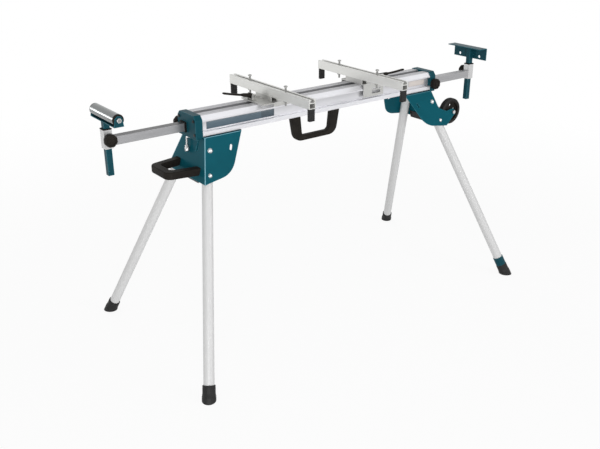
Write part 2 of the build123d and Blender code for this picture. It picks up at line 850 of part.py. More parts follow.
def carry_handle():
    """The closed handle under the beam, with a deep screw hole in each leg."""
    low = beam_height - carry_drop
    bar_top = low + carry_bar
    top = beam_height
    outer = [(carry_centre - carry_top_half, top), (carry_centre + carry_top_half, top)]
    outer += [(carry_centre + carry_low_half, low), (carry_centre - carry_low_half, low)]
    above = top + overrun
    inner = [(carry_centre - carry_gap_top_half, above), (carry_centre + carry_gap_top_half, above)]
    inner += [(carry_centre + carry_gap_low_half, bar_top), (carry_centre - carry_gap_low_half, bar_top)]
    wide = 2 * carry_half_width
    body = prism(outer, across_y(carry_half_width), wide, [0, 0, carry_outer_radius, carry_outer_radius])
    radii = [0, 0, carry_inner_radius, carry_inner_radius]
    body -= prism(inner, across_y(carry_half_width + overrun), wide + 2 * overrun, radii)
    faces = body.edges().group_by(Axis.Y)
    rims = [edge for edge in faces[0] + faces[-1] if edge.center().Z < top - carry_edge]
    body = fillet(rims, carry_edge)
    for x, y, z in frame_screw_places():
        if z < beam_height - sheet:
            body -= rod((x, y, z), (x, y, top + overrun), screw_radius + push_gap)
            body -= rod((x, y, low - overrun), (x, y, z), screw_head_radius + push_gap)
    return body


def loop_outline(inset, reach, back):
    """The loop's outline in X and Y, moved in by an inset, and run back inside the end plate."""
    root = end_x(beam_height - loop_drop)
    slope = (loop_root_half - loop_tip_half) / (loop_reach - root)
    start = root - back
    near = loop_root_half + slope * back - inset
    tip = loop_tip_half + slope * (loop_reach - reach) - inset
    return [(start, -near), (reach, -tip), (reach, tip), (start, near)]


def loop_handle():
    """The flat loop on the left end plate, for pulling the folded stand along."""
    z = beam_height - loop_drop - loop_thickness / 2
    level = Plane.XY.offset(z)
    corners_out = [0, loop_corner, loop_corner, 0]
    corners_in = [0, loop_inner_corner, loop_inner_corner, 0]
    body = prism(loop_outline(0, loop_reach, loop_thickness), level, loop_thickness, corners_out)
    gap = loop_outline(loop_band, loop_reach - loop_band, 2 * loop_thickness)
    body -= prism(gap, level.offset(-overrun), loop_thickness + 2 * overrun, corners_in)
    body = fillet(side_faces(body), loop_edge)
    room = [(0, z - overrun), (end_x(z - overrun), z - overrun)]
    high = z + loop_thickness + overrun
    room += [(end_x(high), high), (0, high)]
    wide = loop_root_half + overrun
    body -= prism(room, across_y(wide), 2 * wide)
    for side in (-1, 1):
        seat = end_plane * Pos(side * loop_screw_offset, -loop_drop / end_cos, 0)
        body -= seat * extrude(Circle(screw_radius + push_gap), amount=loop_screw_grip + push_gap)
    return mirror(body, about=Plane.YZ)


def pull_pin():
    """The sprung hooked pin in the left end plate, with a round grip at its lower end."""
    tip = (pin_hook_offset, -pin_hook_drop, -pin_shank_length)
    turn = (pin_hook_offset, -pin_hook_drop, pin_stand)
    bend = (pin_bend_offset, -pin_bend_drop, pin_stand)
    end = (pin_collar_offset, -pin_collar_drop, pin_stand)
    radii = [2 * pin_wire_radius, pin_bend_radius]
    path = FilletPolyline(tip, turn, bend, end, radius=radii)
    wire = sweep(Plane(tip, z_dir=(0, 0, 1)) * Circle(pin_wire_radius), path=path)
    hang = (Vector(*end) - Vector(*bend)).normalized()
    grip = rod(end, Vector(*end) + hang * pin_collar_length, pin_collar_radius)
    return mirror(end_plane * (wire + grip), about=Plane.YZ)


def wheel_axle():
    """The axle through both wheel arms, with a shoulder inside each wheel."""
    seat = side_y(wheel_z - wheel_axle_head_radius) + slide_gap
    end = seat + wheel_axle_head_length
    axle = rod((0, -end, 0), (0, end, 0), wheel_axle_radius)
    shoulder = wheel_face - wheel_width - slide_gap
    for side in (-1, 1):
        axle += rod((0, side * seat, 0), (0, side * end, 0), wheel_axle_head_radius)
        inner = side * (shoulder - wheel_shoulder_length)
        axle += rod((0, inner, 0), (0, side * shoulder, 0), wheel_shoulder_radius)
    return Pos(wheel_offset, 0, wheel_z) * axle


def wheel_ring(inner, outer, near, far):
    """A ring about the wheel's axis between two distances from the centre plane."""
    ring = rod((0, near, 0), (0, far, 0), outer)
    return ring - rod((0, near - overrun, 0), (0, far + overrun, 0), inner)


def wheel_hub(row):
    """A moulded wheel with a thin web, a thicker hub and a rim."""
    inside = wheel_face - wheel_width
    rim = wheel_radius - tyre_depth
    hub = wheel_ring(wheel_axle_radius + turn_gap, rim, inside, wheel_face)
    recess = (wheel_width - wheel_web) / 2
    for near, far in ((inside - overrun, inside + recess), (wheel_face - recess, wheel_face + overrun)):
        hub -= wheel_ring(wheel_hub_radius, rim - wheel_rim, near, far)
    window_ring = (wheel_hub_radius + rim - wheel_rim) / 2
    for step in range(wheel_windows):
        angle = radians(full_turn * step / wheel_windows)
        x, z = window_ring * sin(angle), window_ring * cos(angle)
        hub -= rod((x, inside - overrun, z), (x, wheel_face + overrun, z), wheel_window_radius)
    return in_corner(Pos(wheel_offset, 0, wheel_z) * hub, 1, row)


def wheel_tyre(row):
    """The tyre pushed over a wheel's rim."""
    inside = wheel_face - wheel_width
    tread = rod((0, inside, 0), (0, wheel_face, 0), wheel_radius)
    tread = fillet(tread.edges().filter_by(GeomType.CIRCLE), tyre_edge)
    bore = wheel_radius - tyre_depth + push_gap
    tread -= rod((0, inside - overrun, 0), (0, wheel_face + overrun, 0), bore)
    return in_corner(Pos(wheel_offset, 0, wheel_z) * tread, 1, row)


def saw_bolt_places():
    """Where the saw bolts cross each bar, in Y."""
    return (-saw_bolt_front, saw_bolt_back)


def saw_bar(centre):
    """One extruded bar that a saw is bolted to."""
    half = bar_width / 2
    top = bar_z + bar_rise
    back = bar_length - bar_front
    bar = block((centre - half, -bar_front, bar_z), (centre + half, back, top))
    near, far = -bar_front - overrun, back + overrun
    tee_top = top - bar_slot_depth
    tee_z = tee_top - bar_tee_depth
    cuts = [(bar_slot / 2, tee_top, top + overrun), (bar_tee_width / 2, tee_z, tee_top)]
    cuts += [(half - bar_wall, bar_z + bar_wall, tee_z - bar_shelf)]
    for reach, low, high in cuts:
        bar -= block((centre - reach, near, low), (centre + reach, far, high))
    for y in saw_bolt_places():
        bar -= rod((centre, y, bar_z - overrun), (centre, y, top + overrun), saw_bolt_radius + push_gap)
    return bar


def bar_feet(centre):
    """The rubber blocks under both ends of a saw bar."""
    half = bar_foot_width / 2
    low = bar_z - bar_foot_drop
    back = bar_length - bar_front
    spans = ((-bar_front, bar_foot_depth - bar_front), (back - bar_foot_depth, back))
    return [block((centre - half, near, low), (centre + half, far, bar_z)) for near, far in spans]


def saw_bolts(centre):
    """The two saw bolts of a bar, each with a nut under the bar."""
    pieces = []
    head_z = bar_z + bar_rise + saw_bolt_above
    for y in saw_bolt_places():
        shank = rod((centre, y, bar_z - saw_bolt_below), (centre, y, head_z), saw_bolt_radius)
        head = rod((centre, y, head_z), (centre, y, head_z + saw_head_height), saw_head_radius)
        nut_end = (centre, y, bar_z - saw_nut_thickness)
        nut = hexagon(nut_flats, (centre, y, bar_z), nut_end, saw_bolt_radius + push_gap)
        pieces += [shank + head, nut]
    return pieces


def cam_middle():
    """The middle of the right-hand cam's pin."""
    return (ear_centre, -(ear_near + ear_far) / 2, pin_z)


def mount_bracket(side, bar_centre):
    """The sliding bracket between the beam and one saw bar."""
    inner_face = mount_flange_sheet - mount_short
    body = block((mount_inner, -mount_short, mount_z), (mount_outer, mount_long, mount_top_z))
    low = (mount_inner, -mount_short, mount_top_z - mount_sheet - mount_flange_drop)
    body += block(low, (mount_flange_outer, inner_face, mount_top_z))
    window_top = mount_z - window_drop
    window_low = (window_inner, -mount_short - overrun, window_top - window_rise)
    body -= block(window_low, (window_outer, inner_face + overrun, window_top))
    hook_z = lip_z - slide_gap
    hook_low = (window_inner - hook_sheet, -mount_short, hook_z - hook_sheet)
    body += block(hook_low, (window_outer + hook_sheet, hook_reach - lip_half, hook_z))
    lip_low = (mount_inner, mount_long - mount_flange_sheet, mount_z - mount_lip_drop)
    body += block(lip_low, (mount_lip_outer, mount_long, mount_top_z))
    half = bar_width / 2
    centre = side * bar_centre
    body += block((centre - half, -riser_half_length, mount_z), (centre + half, riser_half_length, bar_z))
    tunnel = half - riser_wall
    tunnel_low = (centre - tunnel, -riser_half_length - overrun, mount_top_z)
    body -= block(tunnel_low, (centre + tunnel, riser_half_length + overrun, bar_z - riser_wall))
    x, y, z = cam_middle()
    for ear_y in (-ear_near, -ear_far):
        near, far = ear_y - ear_sheet / 2, ear_y + ear_sheet / 2
        ear = block((x - ear_half, near, mount_z), (x + ear_half, far, z))
        body += ear + rod((x, near, z), (x, far, z), ear_half)
    body -= rod((x, -ear_far - overrun, z), (x, overrun, z), pin_radius + push_gap)
    length, width = shoe_length / 2 + slide_gap, shoe_width / 2 + slide_gap
    hole_low = (x - length, y - width, mount_z - overrun)
    body -= block(hole_low, (x + length, y + width, mount_top_z + slide_gap))
    return turned(body, side)


def lever_pin(side):
    """The pin that a cam lever turns on."""
    x, y, z = cam_middle()
    end = (ear_far - ear_near + ear_sheet) / 2 + pin_end
    return turned(rod((x, y - end, z), (x, y + end, z), pin_radius), side)


def clamp_lever(side):
    """A lever with an off-centre barrel between the ears."""
    x, y, z = cam_middle()
    half = (ear_far - ear_near - ear_sheet) / 2 - slide_gap
    barrel_z = z - cam_offset
    barrel = rod((x, y - half, barrel_z), (x, y + half, barrel_z), cam_radius)
    skew, tilt = radians(lever_skew), radians(lever_tilt)
    way = Vector(cos(skew) * cos(tilt), -sin(skew) * cos(tilt), sin(tilt))
    across = Vector(sin(skew), cos(skew), 0)
    seat = Plane((x, y, z), x_dir=way, z_dir=way.cross(across))
    waist = lever_length / 3
    points = [(0, -lever_root_half), (waist, -lever_waist_half), (lever_length, -lever_tip_half)]
    points += [(lever_length, lever_tip_half), (waist, lever_waist_half), (0, lever_root_half)]
    radii = [0, waist, lever_waist_half, lever_waist_half, waist, 0]
    lever = prism(points, seat.offset(-lever_thickness / 2), lever_thickness, radii) + barrel
    root = [(0, lever_root_half), (lever_boss_length, lever_waist_half)]
    root += [(lever_boss_length, -lever_waist_half), (0, -lever_root_half)]
    lever += prism(root, seat.offset(-lever_boss_thickness / 2), lever_boss_thickness)
    lever -= rod((x, y - half - overrun, z), (x, y + half + overrun, z), pin_radius + turn_gap)
    return turned(lever, side)


def clamp_shoe(side):
    """The block that the cam presses down on the beam."""
    x, y, z = cam_middle()
    top = z - cam_offset - cam_radius - slide_gap
    low = (x - shoe_length / 2, y - shoe_width / 2, crown_z + slide_gap)
    return turned(block(low, (x + shoe_length / 2, y + shoe_width / 2, top)), side)


def all_pieces():
    """Every node's name with its solid, or its list of separate solids."""
    stop_top = stop_z + stop_height - stop_sheet
    pieces = {
        "main_beam": main_beam(),
        "cap_screws": cap_screws(),
        "cross_plates": cross_plates(),
        "frame_screws": frame_screws(),
        "leg_pivot_bolts": leg_pivot_bolts(),
        "leg_stop_bolts": leg_stop_bolts(),
        "carry_handle": carry_handle(),
        "loop_handle": loop_handle(),
        "pull_pin": pull_pin(),
        "wheel_axle": wheel_axle(),
        "foot_sleeve": foot_sleeve(),
        "roller_post": post(-1, arm_reach_left, cradle_z),
        "stop_post": post(1, arm_reach_right, stop_top),
        "roller_cradle": roller_cradle(),
        "roller_axle": roller_axle(),
        "roller_nuts": roller_nuts(),
        "roller_tube": roller_tube(),
        "roller_end_plugs": roller_end_plugs(),
        "stop_angle": stop_angle(),
    }
    left_end = ("left", -1, arm_reach_left, bar_centre_left)
    right_end = ("right", 1, arm_reach_right, bar_centre_right)
    for word, side, reach, bar_centre in (left_end, right_end):
        pieces["beam_cap_" + word] = beam_cap(side)
        pieces["leg_bracket_" + word] = leg_bracket(side)
        pieces["arm_tube_" + word] = arm_tube(side, reach)
        pieces["arm_glide_" + word] = arm_glide(side, reach)
        pieces["post_collar_" + word] = post_collar(side, reach)
        pieces["arm_lock_knob_" + word] = arm_lock_knob(side)
        pieces["post_lock_knob_" + word] = post_lock_knob(side, reach)
        pieces["saw_bar_" + word] = saw_bar(bar_centre)
        pieces["bar_feet_" + word] = bar_feet(bar_centre)
        pieces["saw_bolts_" + word] = saw_bolts(bar_centre)
        pieces["mount_bracket_" + word] = mount_bracket(side, bar_centre)
        pieces["lever_pin_" + word] = lever_pin(side)
        pieces["clamp_lever_" + word] = clamp_lever(side)
        pieces["clamp_shoe_" + word] = clamp_shoe(side)
        for row_word, row in (("front", -1), ("back", 1)):
            corner = row_word + "_" + word
            adjustable = corner == "front_right"
            length = short_boot_length if adjustable else boot_length
            clearance = slide_gap if adjustable else push_gap
            pieces["leg_" + corner] = leg(side, row)
            pieces["boot_" + corner] = boot(length, clearance, side, row)
    for row_word, row in (("front", -1), ("back", 1)):
        pieces["wheel_hub_" + row_word] = wheel_hub(row)
        pieces["wheel_tyre_" + row_word] = wheel_tyre(row)
    return pieces


# The origin is on the floor, under the middle of the stand, whose ends are the two post knobs
centring = Pos((arm_reach_left - arm_reach_right) / 2, 0, 0)

for name, piece in all_pieces().items():
    shape = Compound(piece) if isinstance(piece, list) else piece
    export_step(centring * shape, "parts/" + name + ".step")
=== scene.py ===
"""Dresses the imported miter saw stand: its metals, paints and mouldings, and the pieces that are made finer here."""

import logging
import math
from dataclasses import dataclass, field
from enum import Enum

import bmesh
import bpy
import numpy as np
from mathutils import Euler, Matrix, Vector


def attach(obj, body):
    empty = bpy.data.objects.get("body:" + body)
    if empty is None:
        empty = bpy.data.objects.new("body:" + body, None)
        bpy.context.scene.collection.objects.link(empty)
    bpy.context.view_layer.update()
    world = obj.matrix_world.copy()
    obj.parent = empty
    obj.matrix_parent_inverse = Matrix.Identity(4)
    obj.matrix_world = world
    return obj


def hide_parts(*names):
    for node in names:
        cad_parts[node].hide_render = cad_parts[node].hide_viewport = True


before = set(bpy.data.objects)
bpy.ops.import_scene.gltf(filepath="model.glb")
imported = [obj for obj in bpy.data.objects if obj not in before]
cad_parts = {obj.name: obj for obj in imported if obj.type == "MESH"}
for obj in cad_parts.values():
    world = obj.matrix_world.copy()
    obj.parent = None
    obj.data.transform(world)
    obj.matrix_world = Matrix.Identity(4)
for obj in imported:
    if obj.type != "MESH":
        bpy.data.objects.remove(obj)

Array = np.ndarray
Material = bpy.types.Material
Pair = tuple[float, float]
Triple = tuple[float, float, float]

LOG = logging.getLogger("saw_stand")
MM = 0.001
CENTRING = 13.0  # the beam's middle lies this far along X, in millimetres
BEAM_Z = 725.0  # the beam's underside
END_X = 498.4  # a bracket's end plate from the beam's middle, at the beam's underside
END_LEAN = math.radians(16.9)  # how far the end plates lean out
SIDE_Y = 61.1  # a bracket's side flange from the centre plane, at the beam's underside
SIDE_LEAN = math.radians(23.2)  # how far the side flanges lean out
LEG_WAY = (0.3038, 0.4286, -1.0)  # down the back right leg
BAR_X = (-221.5, 172.5)  # the left and right saw bars
POST_X = (-784.0, 758.0)  # the left and right posts
ROLLER_Z = 832.0  # the roller's axle
NUT_FLATS = 13.0  # the smaller nuts, across their flats
SHARP = math.radians(38)  # an edge sharper than this isn't smoothed
MERGE = 2e-6  # points nearer than this become one, in metres
WIDE, BAND, NARROW = (0.25, 0.75), (0.3, 0.7), (0.35, 0.65)  # spans about a noise's middle
SIDES = {"left": -1, "right": 1}
ROWS = {"front": -1, "back": 1}


@dataclass
class Socket:
    """One output of a graph's nodes, which works in Python sums."""

    graph: "Graph"
    output: bpy.types.NodeSocket

    def math(self, operation: str, *values: "Socket | float") -> "Socket":
        """The result of a Math node, by Blender's name for the operation and its inputs in order."""
        return self.graph.node("Math", {"operation": operation}, dict(enumerate(values)))

    def __add__(self, other: "Socket | float") -> "Socket":
        """This plus other."""
        return self.math("ADD", self, other)

    def __radd__(self, other: float) -> "Socket":
        """Other plus this."""
        return self.math("ADD", other, self)

    def __sub__(self, other: "Socket | float") -> "Socket":
        """This less other."""
        return self.math("SUBTRACT", self, other)

    def __rsub__(self, other: float) -> "Socket":
        """Other less this."""
        return self.math("SUBTRACT", other, self)

    def __mul__(self, other: "Socket | float") -> "Socket":
        """This times other."""
        return self.math("MULTIPLY", self, other)

    def __rmul__(self, other: float) -> "Socket":
        """Other times this."""
        return self.math("MULTIPLY", other, self)

    def __abs__(self) -> "Socket":
        """This without its sign."""
        return self.math("ABSOLUTE", self)

    def most(self, other: "Socket | float") -> "Socket":
        """The larger of this and other."""
        return self.math("MAXIMUM", self, other)


@dataclass
class Graph:
    """The nodes of one material, or of the world.

    Args:
        name: The material's or the world's name.
        kind: Material or World.
    """

    name: str
    kind: str = "Material"
    owner: bpy.types.ID = field(init=False)

    def __post_init__(self) -> None:
        """Makes the empty material or world."""
        stores = {"Material": bpy.data.materials, "World": bpy.data.worlds}
        self.owner = stores[self.kind].new(self.name)
        self.owner.use_nodes = True
        self.owner.node_tree.nodes.clear()

    def node(
        self, kind: str, settings: dict | None = None, inputs: dict | None = None, output: int | str = 0
    ) -> Socket:
        """Adds one shader node.

        Args:
            kind: The node's type, without its ShaderNode prefix.
            settings: Attributes of the node, set before its sockets.
            inputs: Values or links, by socket name or number.
            output: Which output to return.

        Returns:
            The chosen output.
        """
        made = self.owner.node_tree.nodes.new("ShaderNode" + kind)
        for key, value in (settings or {}).items():
            setattr(made, key, value)
        for key, value in (inputs or {}).items():
            if isinstance(value, Socket):
                self.owner.node_tree.links.new(value.output, made.inputs[key])
            else:
                made.inputs[key].default_value = value
        return Socket(self, made.outputs[output])

    def place(self, stretch: Triple = (1.0, 1.0, 1.0)) -> Socket:
        """The point on the object in metres, with each axis multiplied by its stretch."""
        point = self.node("TexCoord", output="Object")
        return self.node("VectorMath", {"operation": "MULTIPLY"}, {0: point, 1: stretch})

    def axes(self) -> tuple[Socket, Socket, Socket]:
        """The point's X, Y and Z, in metres."""
        split = self.node("SeparateXYZ", {}, {0: self.place()})
        return tuple(Socket(self, output) for output in split.output.node.outputs)

    def noise(self, scale: float, stretch: Triple = (1.0, 1.0, 1.0), detail: float = 3.0) -> Socket:
        """Noise about 0.5, by its waves per metre, how much closer they lie along each axis and its finer layers."""
        return self.node("TexNoise", {}, {"Vector": self.place(stretch), "Scale": scale, "Detail": detail})

    def ramp(self, value: Socket, low: float, high: float) -> Socket:
        """A smooth step from 0 where the value is low to 1 where it is high."""
        return self.node("MapRange", {"interpolation_type": "SMOOTHSTEP"}, {0: value, 1: low, 2: high})

    def mix(self, factor: Socket, low: "Socket | tuple", high: "Socket | tuple") -> Socket:
        """A colour between low and high, by a factor from 0 to 1."""
        return self.node("Mix", {"data_type": "RGBA"}, {0: factor, 6: low, 7: high}, output=2)

    def varied(self, factor: Socket, colour: tuple[float, ...], low: float, high: float) -> Socket:
        """A colour from low to high times itself, by a factor from 0 to 1."""
        return self.mix(factor, scaled(colour, low), scaled(colour, high))

    def swayed(self, value: float, sway: float, pattern: Socket) -> Socket:
        """A number that a noise takes down and up by its sway."""
        return value - sway + 2 * sway * self.ramp(pattern, *BAND)

    def ray(self, kind: str) -> Socket:
        """1 for rays of one kind, such as the camera's."""
        return self.node("LightPath", output=f"Is {kind} Ray")

    def rounded(self, radius: float) -> Socket:
        """The surface normal with each edge rounded to a radius in metres."""
        return self.node("Bevel", {"samples": 4}, {"Radius": radius})

    def edges(self, radius: float) -> Socket:
        """A mask that is 1 along edges, from how far the rounded normal leaves the true one."""
        flat = self.node("NewGeometry", output="Normal")
        pair = {0: self.rounded(radius), 1: flat}
        dot = self.node("VectorMath", {"operation": "DOT_PRODUCT"}, pair, output="Value")
        return self.ramp(1.0 - dot, 0.01, 0.16)

    def bump(self, height: Socket, depth: float, normal: Socket | None = None) -> Socket:
        """A normal, or the surface's own, tilted by a height from 0 to 1 that stands for a depth in metres."""
        inputs = {"Height": height, "Distance": depth, "Strength": 1.0}
        if normal is not None:
            inputs["Normal"] = normal
        return self.node("Bump", {}, inputs)

    def finish(self, shader: Socket) -> bpy.types.ID:
        """Links the last shader to the output, and returns the finished material or world."""
        out = self.owner.node_tree.nodes.new("ShaderNodeOutput" + self.kind)
        self.owner.node_tree.links.new(shader.output, out.inputs["Surface"])
        return self.owner

    def surface(self, inputs: dict) -> Material:
        """The finished material of one Principled shader with these inputs."""
        return self.finish(self.node("BsdfPrincipled", {}, inputs))


def grey(value: float) -> tuple[float, float, float, float]:
    """A neutral colour."""
    return (value, value, value, 1.0)


def scaled(colour: tuple[float, ...], factor: float) -> tuple[float, float, float, float]:
    """A colour made darker or lighter."""
    return (*(min(1.0, channel * factor) for channel in colour[:3]), 1.0)


class Grain(Enum):
    """The way that a metal's fine drawn lines run, as each axis's stretch."""

    ALONG_X = (1.0, 260.0, 260.0)
    ALONG_Y = (260.0, 1.0, 260.0)
    ALONG_Z = (260.0, 260.0, 1.0)
    NONE = (40.0, 40.0, 40.0)


@dataclass(frozen=True)
class Painted:
    """Semi-gloss paint on steel, with a faint orange peel, and bends and edges paler, partly wear and partly a painted
    highlight.
    """

    name: str
    colour: Triple
    edge: Triple
    peel: float = 0.00002
    roughness: float = 0.36
    coarse: float = 700.0
    cloud: float = 0.07
    shine: float = 0.25
    edge_width: float = 0.0025
    edge_share: float = 0.8
    corner: float = 0.0008
    sway: float = 0.04

    def shade(self, g: Graph, body: Socket) -> Socket:
        """Changes the colour by place, for a paint that needs it."""
        return body

    def material(self) -> Material:
        """Makes the paint."""
        g = Graph(self.name)
        cloud = g.noise(9.0, detail=4.0)
        speck = g.noise(self.coarse, detail=2.0)
        body = g.varied(g.ramp(cloud, *BAND), self.colour, 1 - self.cloud, 1 + self.cloud)
        # paler edges: partly wear, partly painted highlight
        body = self.shade(g, g.mix(g.edges(self.edge_width) * self.edge_share, body, (*self.edge, 1.0)))
        rough = g.swayed(self.roughness, self.sway, speck)
        normal = g.bump(speck, self.peel, g.rounded(self.corner))
        return g.surface({"Base Color": body, "Roughness": rough, "Normal": normal, "Specular IOR Level": self.shine})


@dataclass(frozen=True)
class BracketPaint(Painted):
    """The folded brackets' paint, with a painted highlight along each bend and a painted shadow where the web runs in
    under the beam.
    """

    painted_bend_highlight: Triple = (0.20, 0.42, 0.50)
    radius: float = 0.0028
    beyond: Pair = (0.0004, 0.0006)
    joint: Pair = (0.0015, 0.0018)
    bend_start: Pair = (0.0016, 0.0020)
    bend_end: Pair = (0.0034, 0.0040)
    middle: Pair = (-0.1, 0.1)

    def shade(self, g: Graph, body: Socket) -> Socket:
        """Paints a highlight on the bends, by how far a point lies inside the planes of the end plate and the flange,
        and paints the beam's shadow on the web.

        The painted highlight on the bend between those two is only on the left bracket, and the one on the bend under
        the beam is weaker on the right.
        """
        x, y, z = g.axes()
        drop = BEAM_Z * MM - z
        out = abs(x - CENTRING * MM) - drop * math.tan(END_LEAN) - END_X * MM
        side = abs(y) - drop * math.tan(SIDE_LEAN) - SIDE_Y * MM
        end = g.ramp(out, -self.radius, -self.radius / 2) * (1.0 - g.ramp(out, *self.beyond))
        flange = g.ramp(side, -self.radius, -self.radius / 2)
        bend = g.ramp(drop, *self.bend_start) * (1.0 - g.ramp(drop, *self.bend_end))
        left = 1.0 - g.ramp(x, *self.middle)
        # painted highlight where the end plate bends into the flange, on the left bracket only
        body = g.mix(flange * end * left, body, (*self.painted_bend_highlight, 1.0))
        # painted highlight along the bend under the beam
        body = g.mix(bend * (0.3 + 0.4 * left), body, (*self.painted_bend_highlight, 1.0))
        # painted shadow of the beam on the web's top, just under the beam
        return g.mix(1.0 - g.ramp(drop, *self.joint), body, scaled(self.colour, 0.3))


@dataclass(frozen=True)
class CastPaint(Painted):
    """The end caps' paint, black past the cap's face round the arm's opening, where the arm stands out of the cap."""

    face: Pair = (0.5253, 0.5256)

    def shade(self, g: Graph, body: Socket) -> Socket:
        """Blackens what lies further out along X than the cap's face."""
        x, _, _ = g.axes()
        return g.mix(g.ramp(abs(x - CENTRING * MM), *self.face), body, grey(0.006))


@dataclass(frozen=True)
class Metal:
    """Bare or anodised metal with fine drawn lines."""

    name: str
    colour: Triple
    grain: Grain = Grain.NONE
    roughness: float = 0.32
    contrast: float = 0.06
    line_depth: float = 0.00002
    metallic: float = 1.0
    edge_gain: float = 1.25
    edge_width: float = 0.0008
    edge_share: float = 0.6
    corner: float = 0.0005
    sway: float = 0.05
    cloud: float = 0.06

    def shade(self, g: Graph, body: Socket) -> Socket:
        """Changes the colour by place, for a metal that needs it."""
        return body

    def material(self) -> Material:
        """Makes the metal."""
        g = Graph(self.name)
        lines = g.noise(6.0, self.grain.value)
        cloud = g.noise(14.0)
        body = self.shade(g, g.varied(g.ramp(lines, *WIDE), self.colour, 1 - self.contrast, 1 + self.contrast))
        # paler edges: painted highlight
        body = g.mix(g.edges(self.edge_width) * self.edge_share, body, scaled(self.colour, self.edge_gain))
        rough = g.swayed(self.roughness, self.sway, lines) + self.cloud * g.ramp(cloud, *NARROW)
        normal = g.bump(lines, self.line_depth, g.rounded(self.corner))
        return g.surface({"Base Color": body, "Roughness": rough, "Normal": normal, "Metallic": self.metallic})


@dataclass(frozen=True)
class BeamMetal(Metal):
    """The beam's anodised metal, with light and shade painted by place: a painted highlight on the bevels and feet,
    painted shade on the waist and top, and painted shade in the groove and the two lines.
    """

    groove: Pair = (0.0131, 0.0137)
    groove_floor: Pair = (0.7885, 0.7893)
    line_offset: float = 0.027
    line: Pair = (0.0009, 0.0013)
    inside: Pair = (0.027, 0.0274)
    upper: Pair = (0.775, 0.777)
    flat: Pair = (0.7884, 0.7888)
    bevel: Pair = (0.7755, 0.7760)
    foot: Pair = (0.7388, 0.7392)
    waist: Pair = (0.742, 0.770)
    front: Pair = (0.0415, 0.0420)
    # colour gains for the painted shade, the painted highlight and the painted shade in the groove and lines
    dimmed: float = 0.72
    painted_highlight_gain: float = 1.16
    dark: float = 0.5

    def shade(self, g: Graph, body: Socket) -> Socket:
        """Paints highlight and shade on the beam's faces by height and by distance from its centre plane."""
        _, y, z = g.axes()
        across = abs(y)
        upper, flat = g.ramp(z, *self.upper), g.ramp(z, *self.flat)
        bevel = g.ramp(z, *self.bevel) * (1.0 - flat)
        foot = 1.0 - g.ramp(z, *self.foot)
        waist = g.ramp(z, *self.waist) * (1.0 - g.ramp(across, *self.front))
        inner = 1.0 - g.ramp(across, *self.inside)
        groove = (1.0 - g.ramp(across, *self.groove)) * upper * (1.0 - g.ramp(z, *self.groove_floor))
        line = (1.0 - g.ramp(abs(across - self.line_offset), *self.line)) * upper
        # painted shade on the recessed front face, growing towards the lip
        body = g.mix(waist * 0.8, body, scaled(self.colour, self.dimmed))
        # painted highlight on the bevels, and a weaker one on the feet
        body = g.mix(bevel.most(foot * 0.35), body, scaled(self.colour, self.painted_highlight_gain))
        # painted shade on the flat top, stronger between the two lines
        body = g.mix(flat * (0.6 + 0.4 * inner), body, scaled(self.colour, self.dimmed))
        # painted shade in the groove and the two lines
        return g.mix(groove.most(line), body, scaled(self.colour, self.dark))


@dataclass(frozen=True)
class ArmMetal(Metal):
    """The brushed tube of an arm, with painted shade on its upper face."""

    top: Pair = (0.7606, 0.7608)

    def shade(self, g: Graph, body: Socket) -> Socket:
        """Paints shade on the tube's upper face."""
        _, _, z = g.axes()
        return g.mix(g.ramp(z, *self.top), body, scaled(self.colour, 0.3))


@dataclass(frozen=True)
class Moulded:
    """Satin moulded plastic or rubber with a fine grain and slightly paler edges, partly wear and partly a painted
    highlight.
    """

    name: str
    colour: Triple
    roughness: float = 0.5
    grain_depth: float = 0.00005
    grain_scale: float = 1500.0
    edge_gain: float = 2.2
    shine: float = 0.3
    edge_width: float = 0.0012
    edge_share: float = 0.7
    corner: float = 0.0009
    sway: float = 0.06

    def material(self) -> Material:
        """Makes the moulding's finish."""
        g = Graph(self.name)
        grain = g.noise(self.grain_scale, detail=2.0)
        cloud = g.noise(20.0)
        body = g.varied(g.ramp(cloud, *BAND), self.colour, 0.8, 1.25)
        # paler edges: partly wear, partly painted highlight
        body = g.mix(g.edges(self.edge_width) * self.edge_share, body, scaled(self.colour, self.edge_gain))
        rough = g.swayed(self.roughness, self.sway, grain)
        normal = g.bump(grain, self.grain_depth, g.rounded(self.corner))
        return g.surface({"Base Color": body, "Roughness": rough, "Normal": normal, "Specular IOR Level": self.shine})


@dataclass(frozen=True)
class Strip:
    """The strip on the beam, left blank: a slate-blue field, a darker end and a fine border."""

    name: str
    colour: Triple
    end_x: float
    low: Pair
    high: Pair
    border: float = 0.0008
    soft: float = 0.0003
    blend: float = 0.0004

    def rim(self, g: Graph, value: Socket, low: float, high: float) -> Socket:
        """A mask that is 1 in the border at either end of a span."""
        inner = (high - low) / 2 - self.border
        return g.ramp(abs(value - (low + high) / 2), inner, inner + self.soft)

    def material(self) -> Material:
        """Makes the strip's finish."""
        g = Graph(self.name)
        x, _, z = g.axes()
        fibre = g.noise(900.0, (1.0, 1.0, 3.0), detail=2.0)
        body = g.varied(fibre, self.colour, 0.92, 1.08)
        body = g.mix(g.ramp(x, self.end_x, self.end_x + self.blend), body, scaled(self.colour, 0.62))
        rim = self.rim(g, x, self.low[0], self.high[0]).most(self.rim(g, z, self.low[1], self.high[1]))
        body = g.mix(rim, body, scaled(self.colour, 0.35))
        return g.surface({"Base Color": body, "Roughness": 0.3 + 0.1 * fibre, "Coat Weight": 0.2})


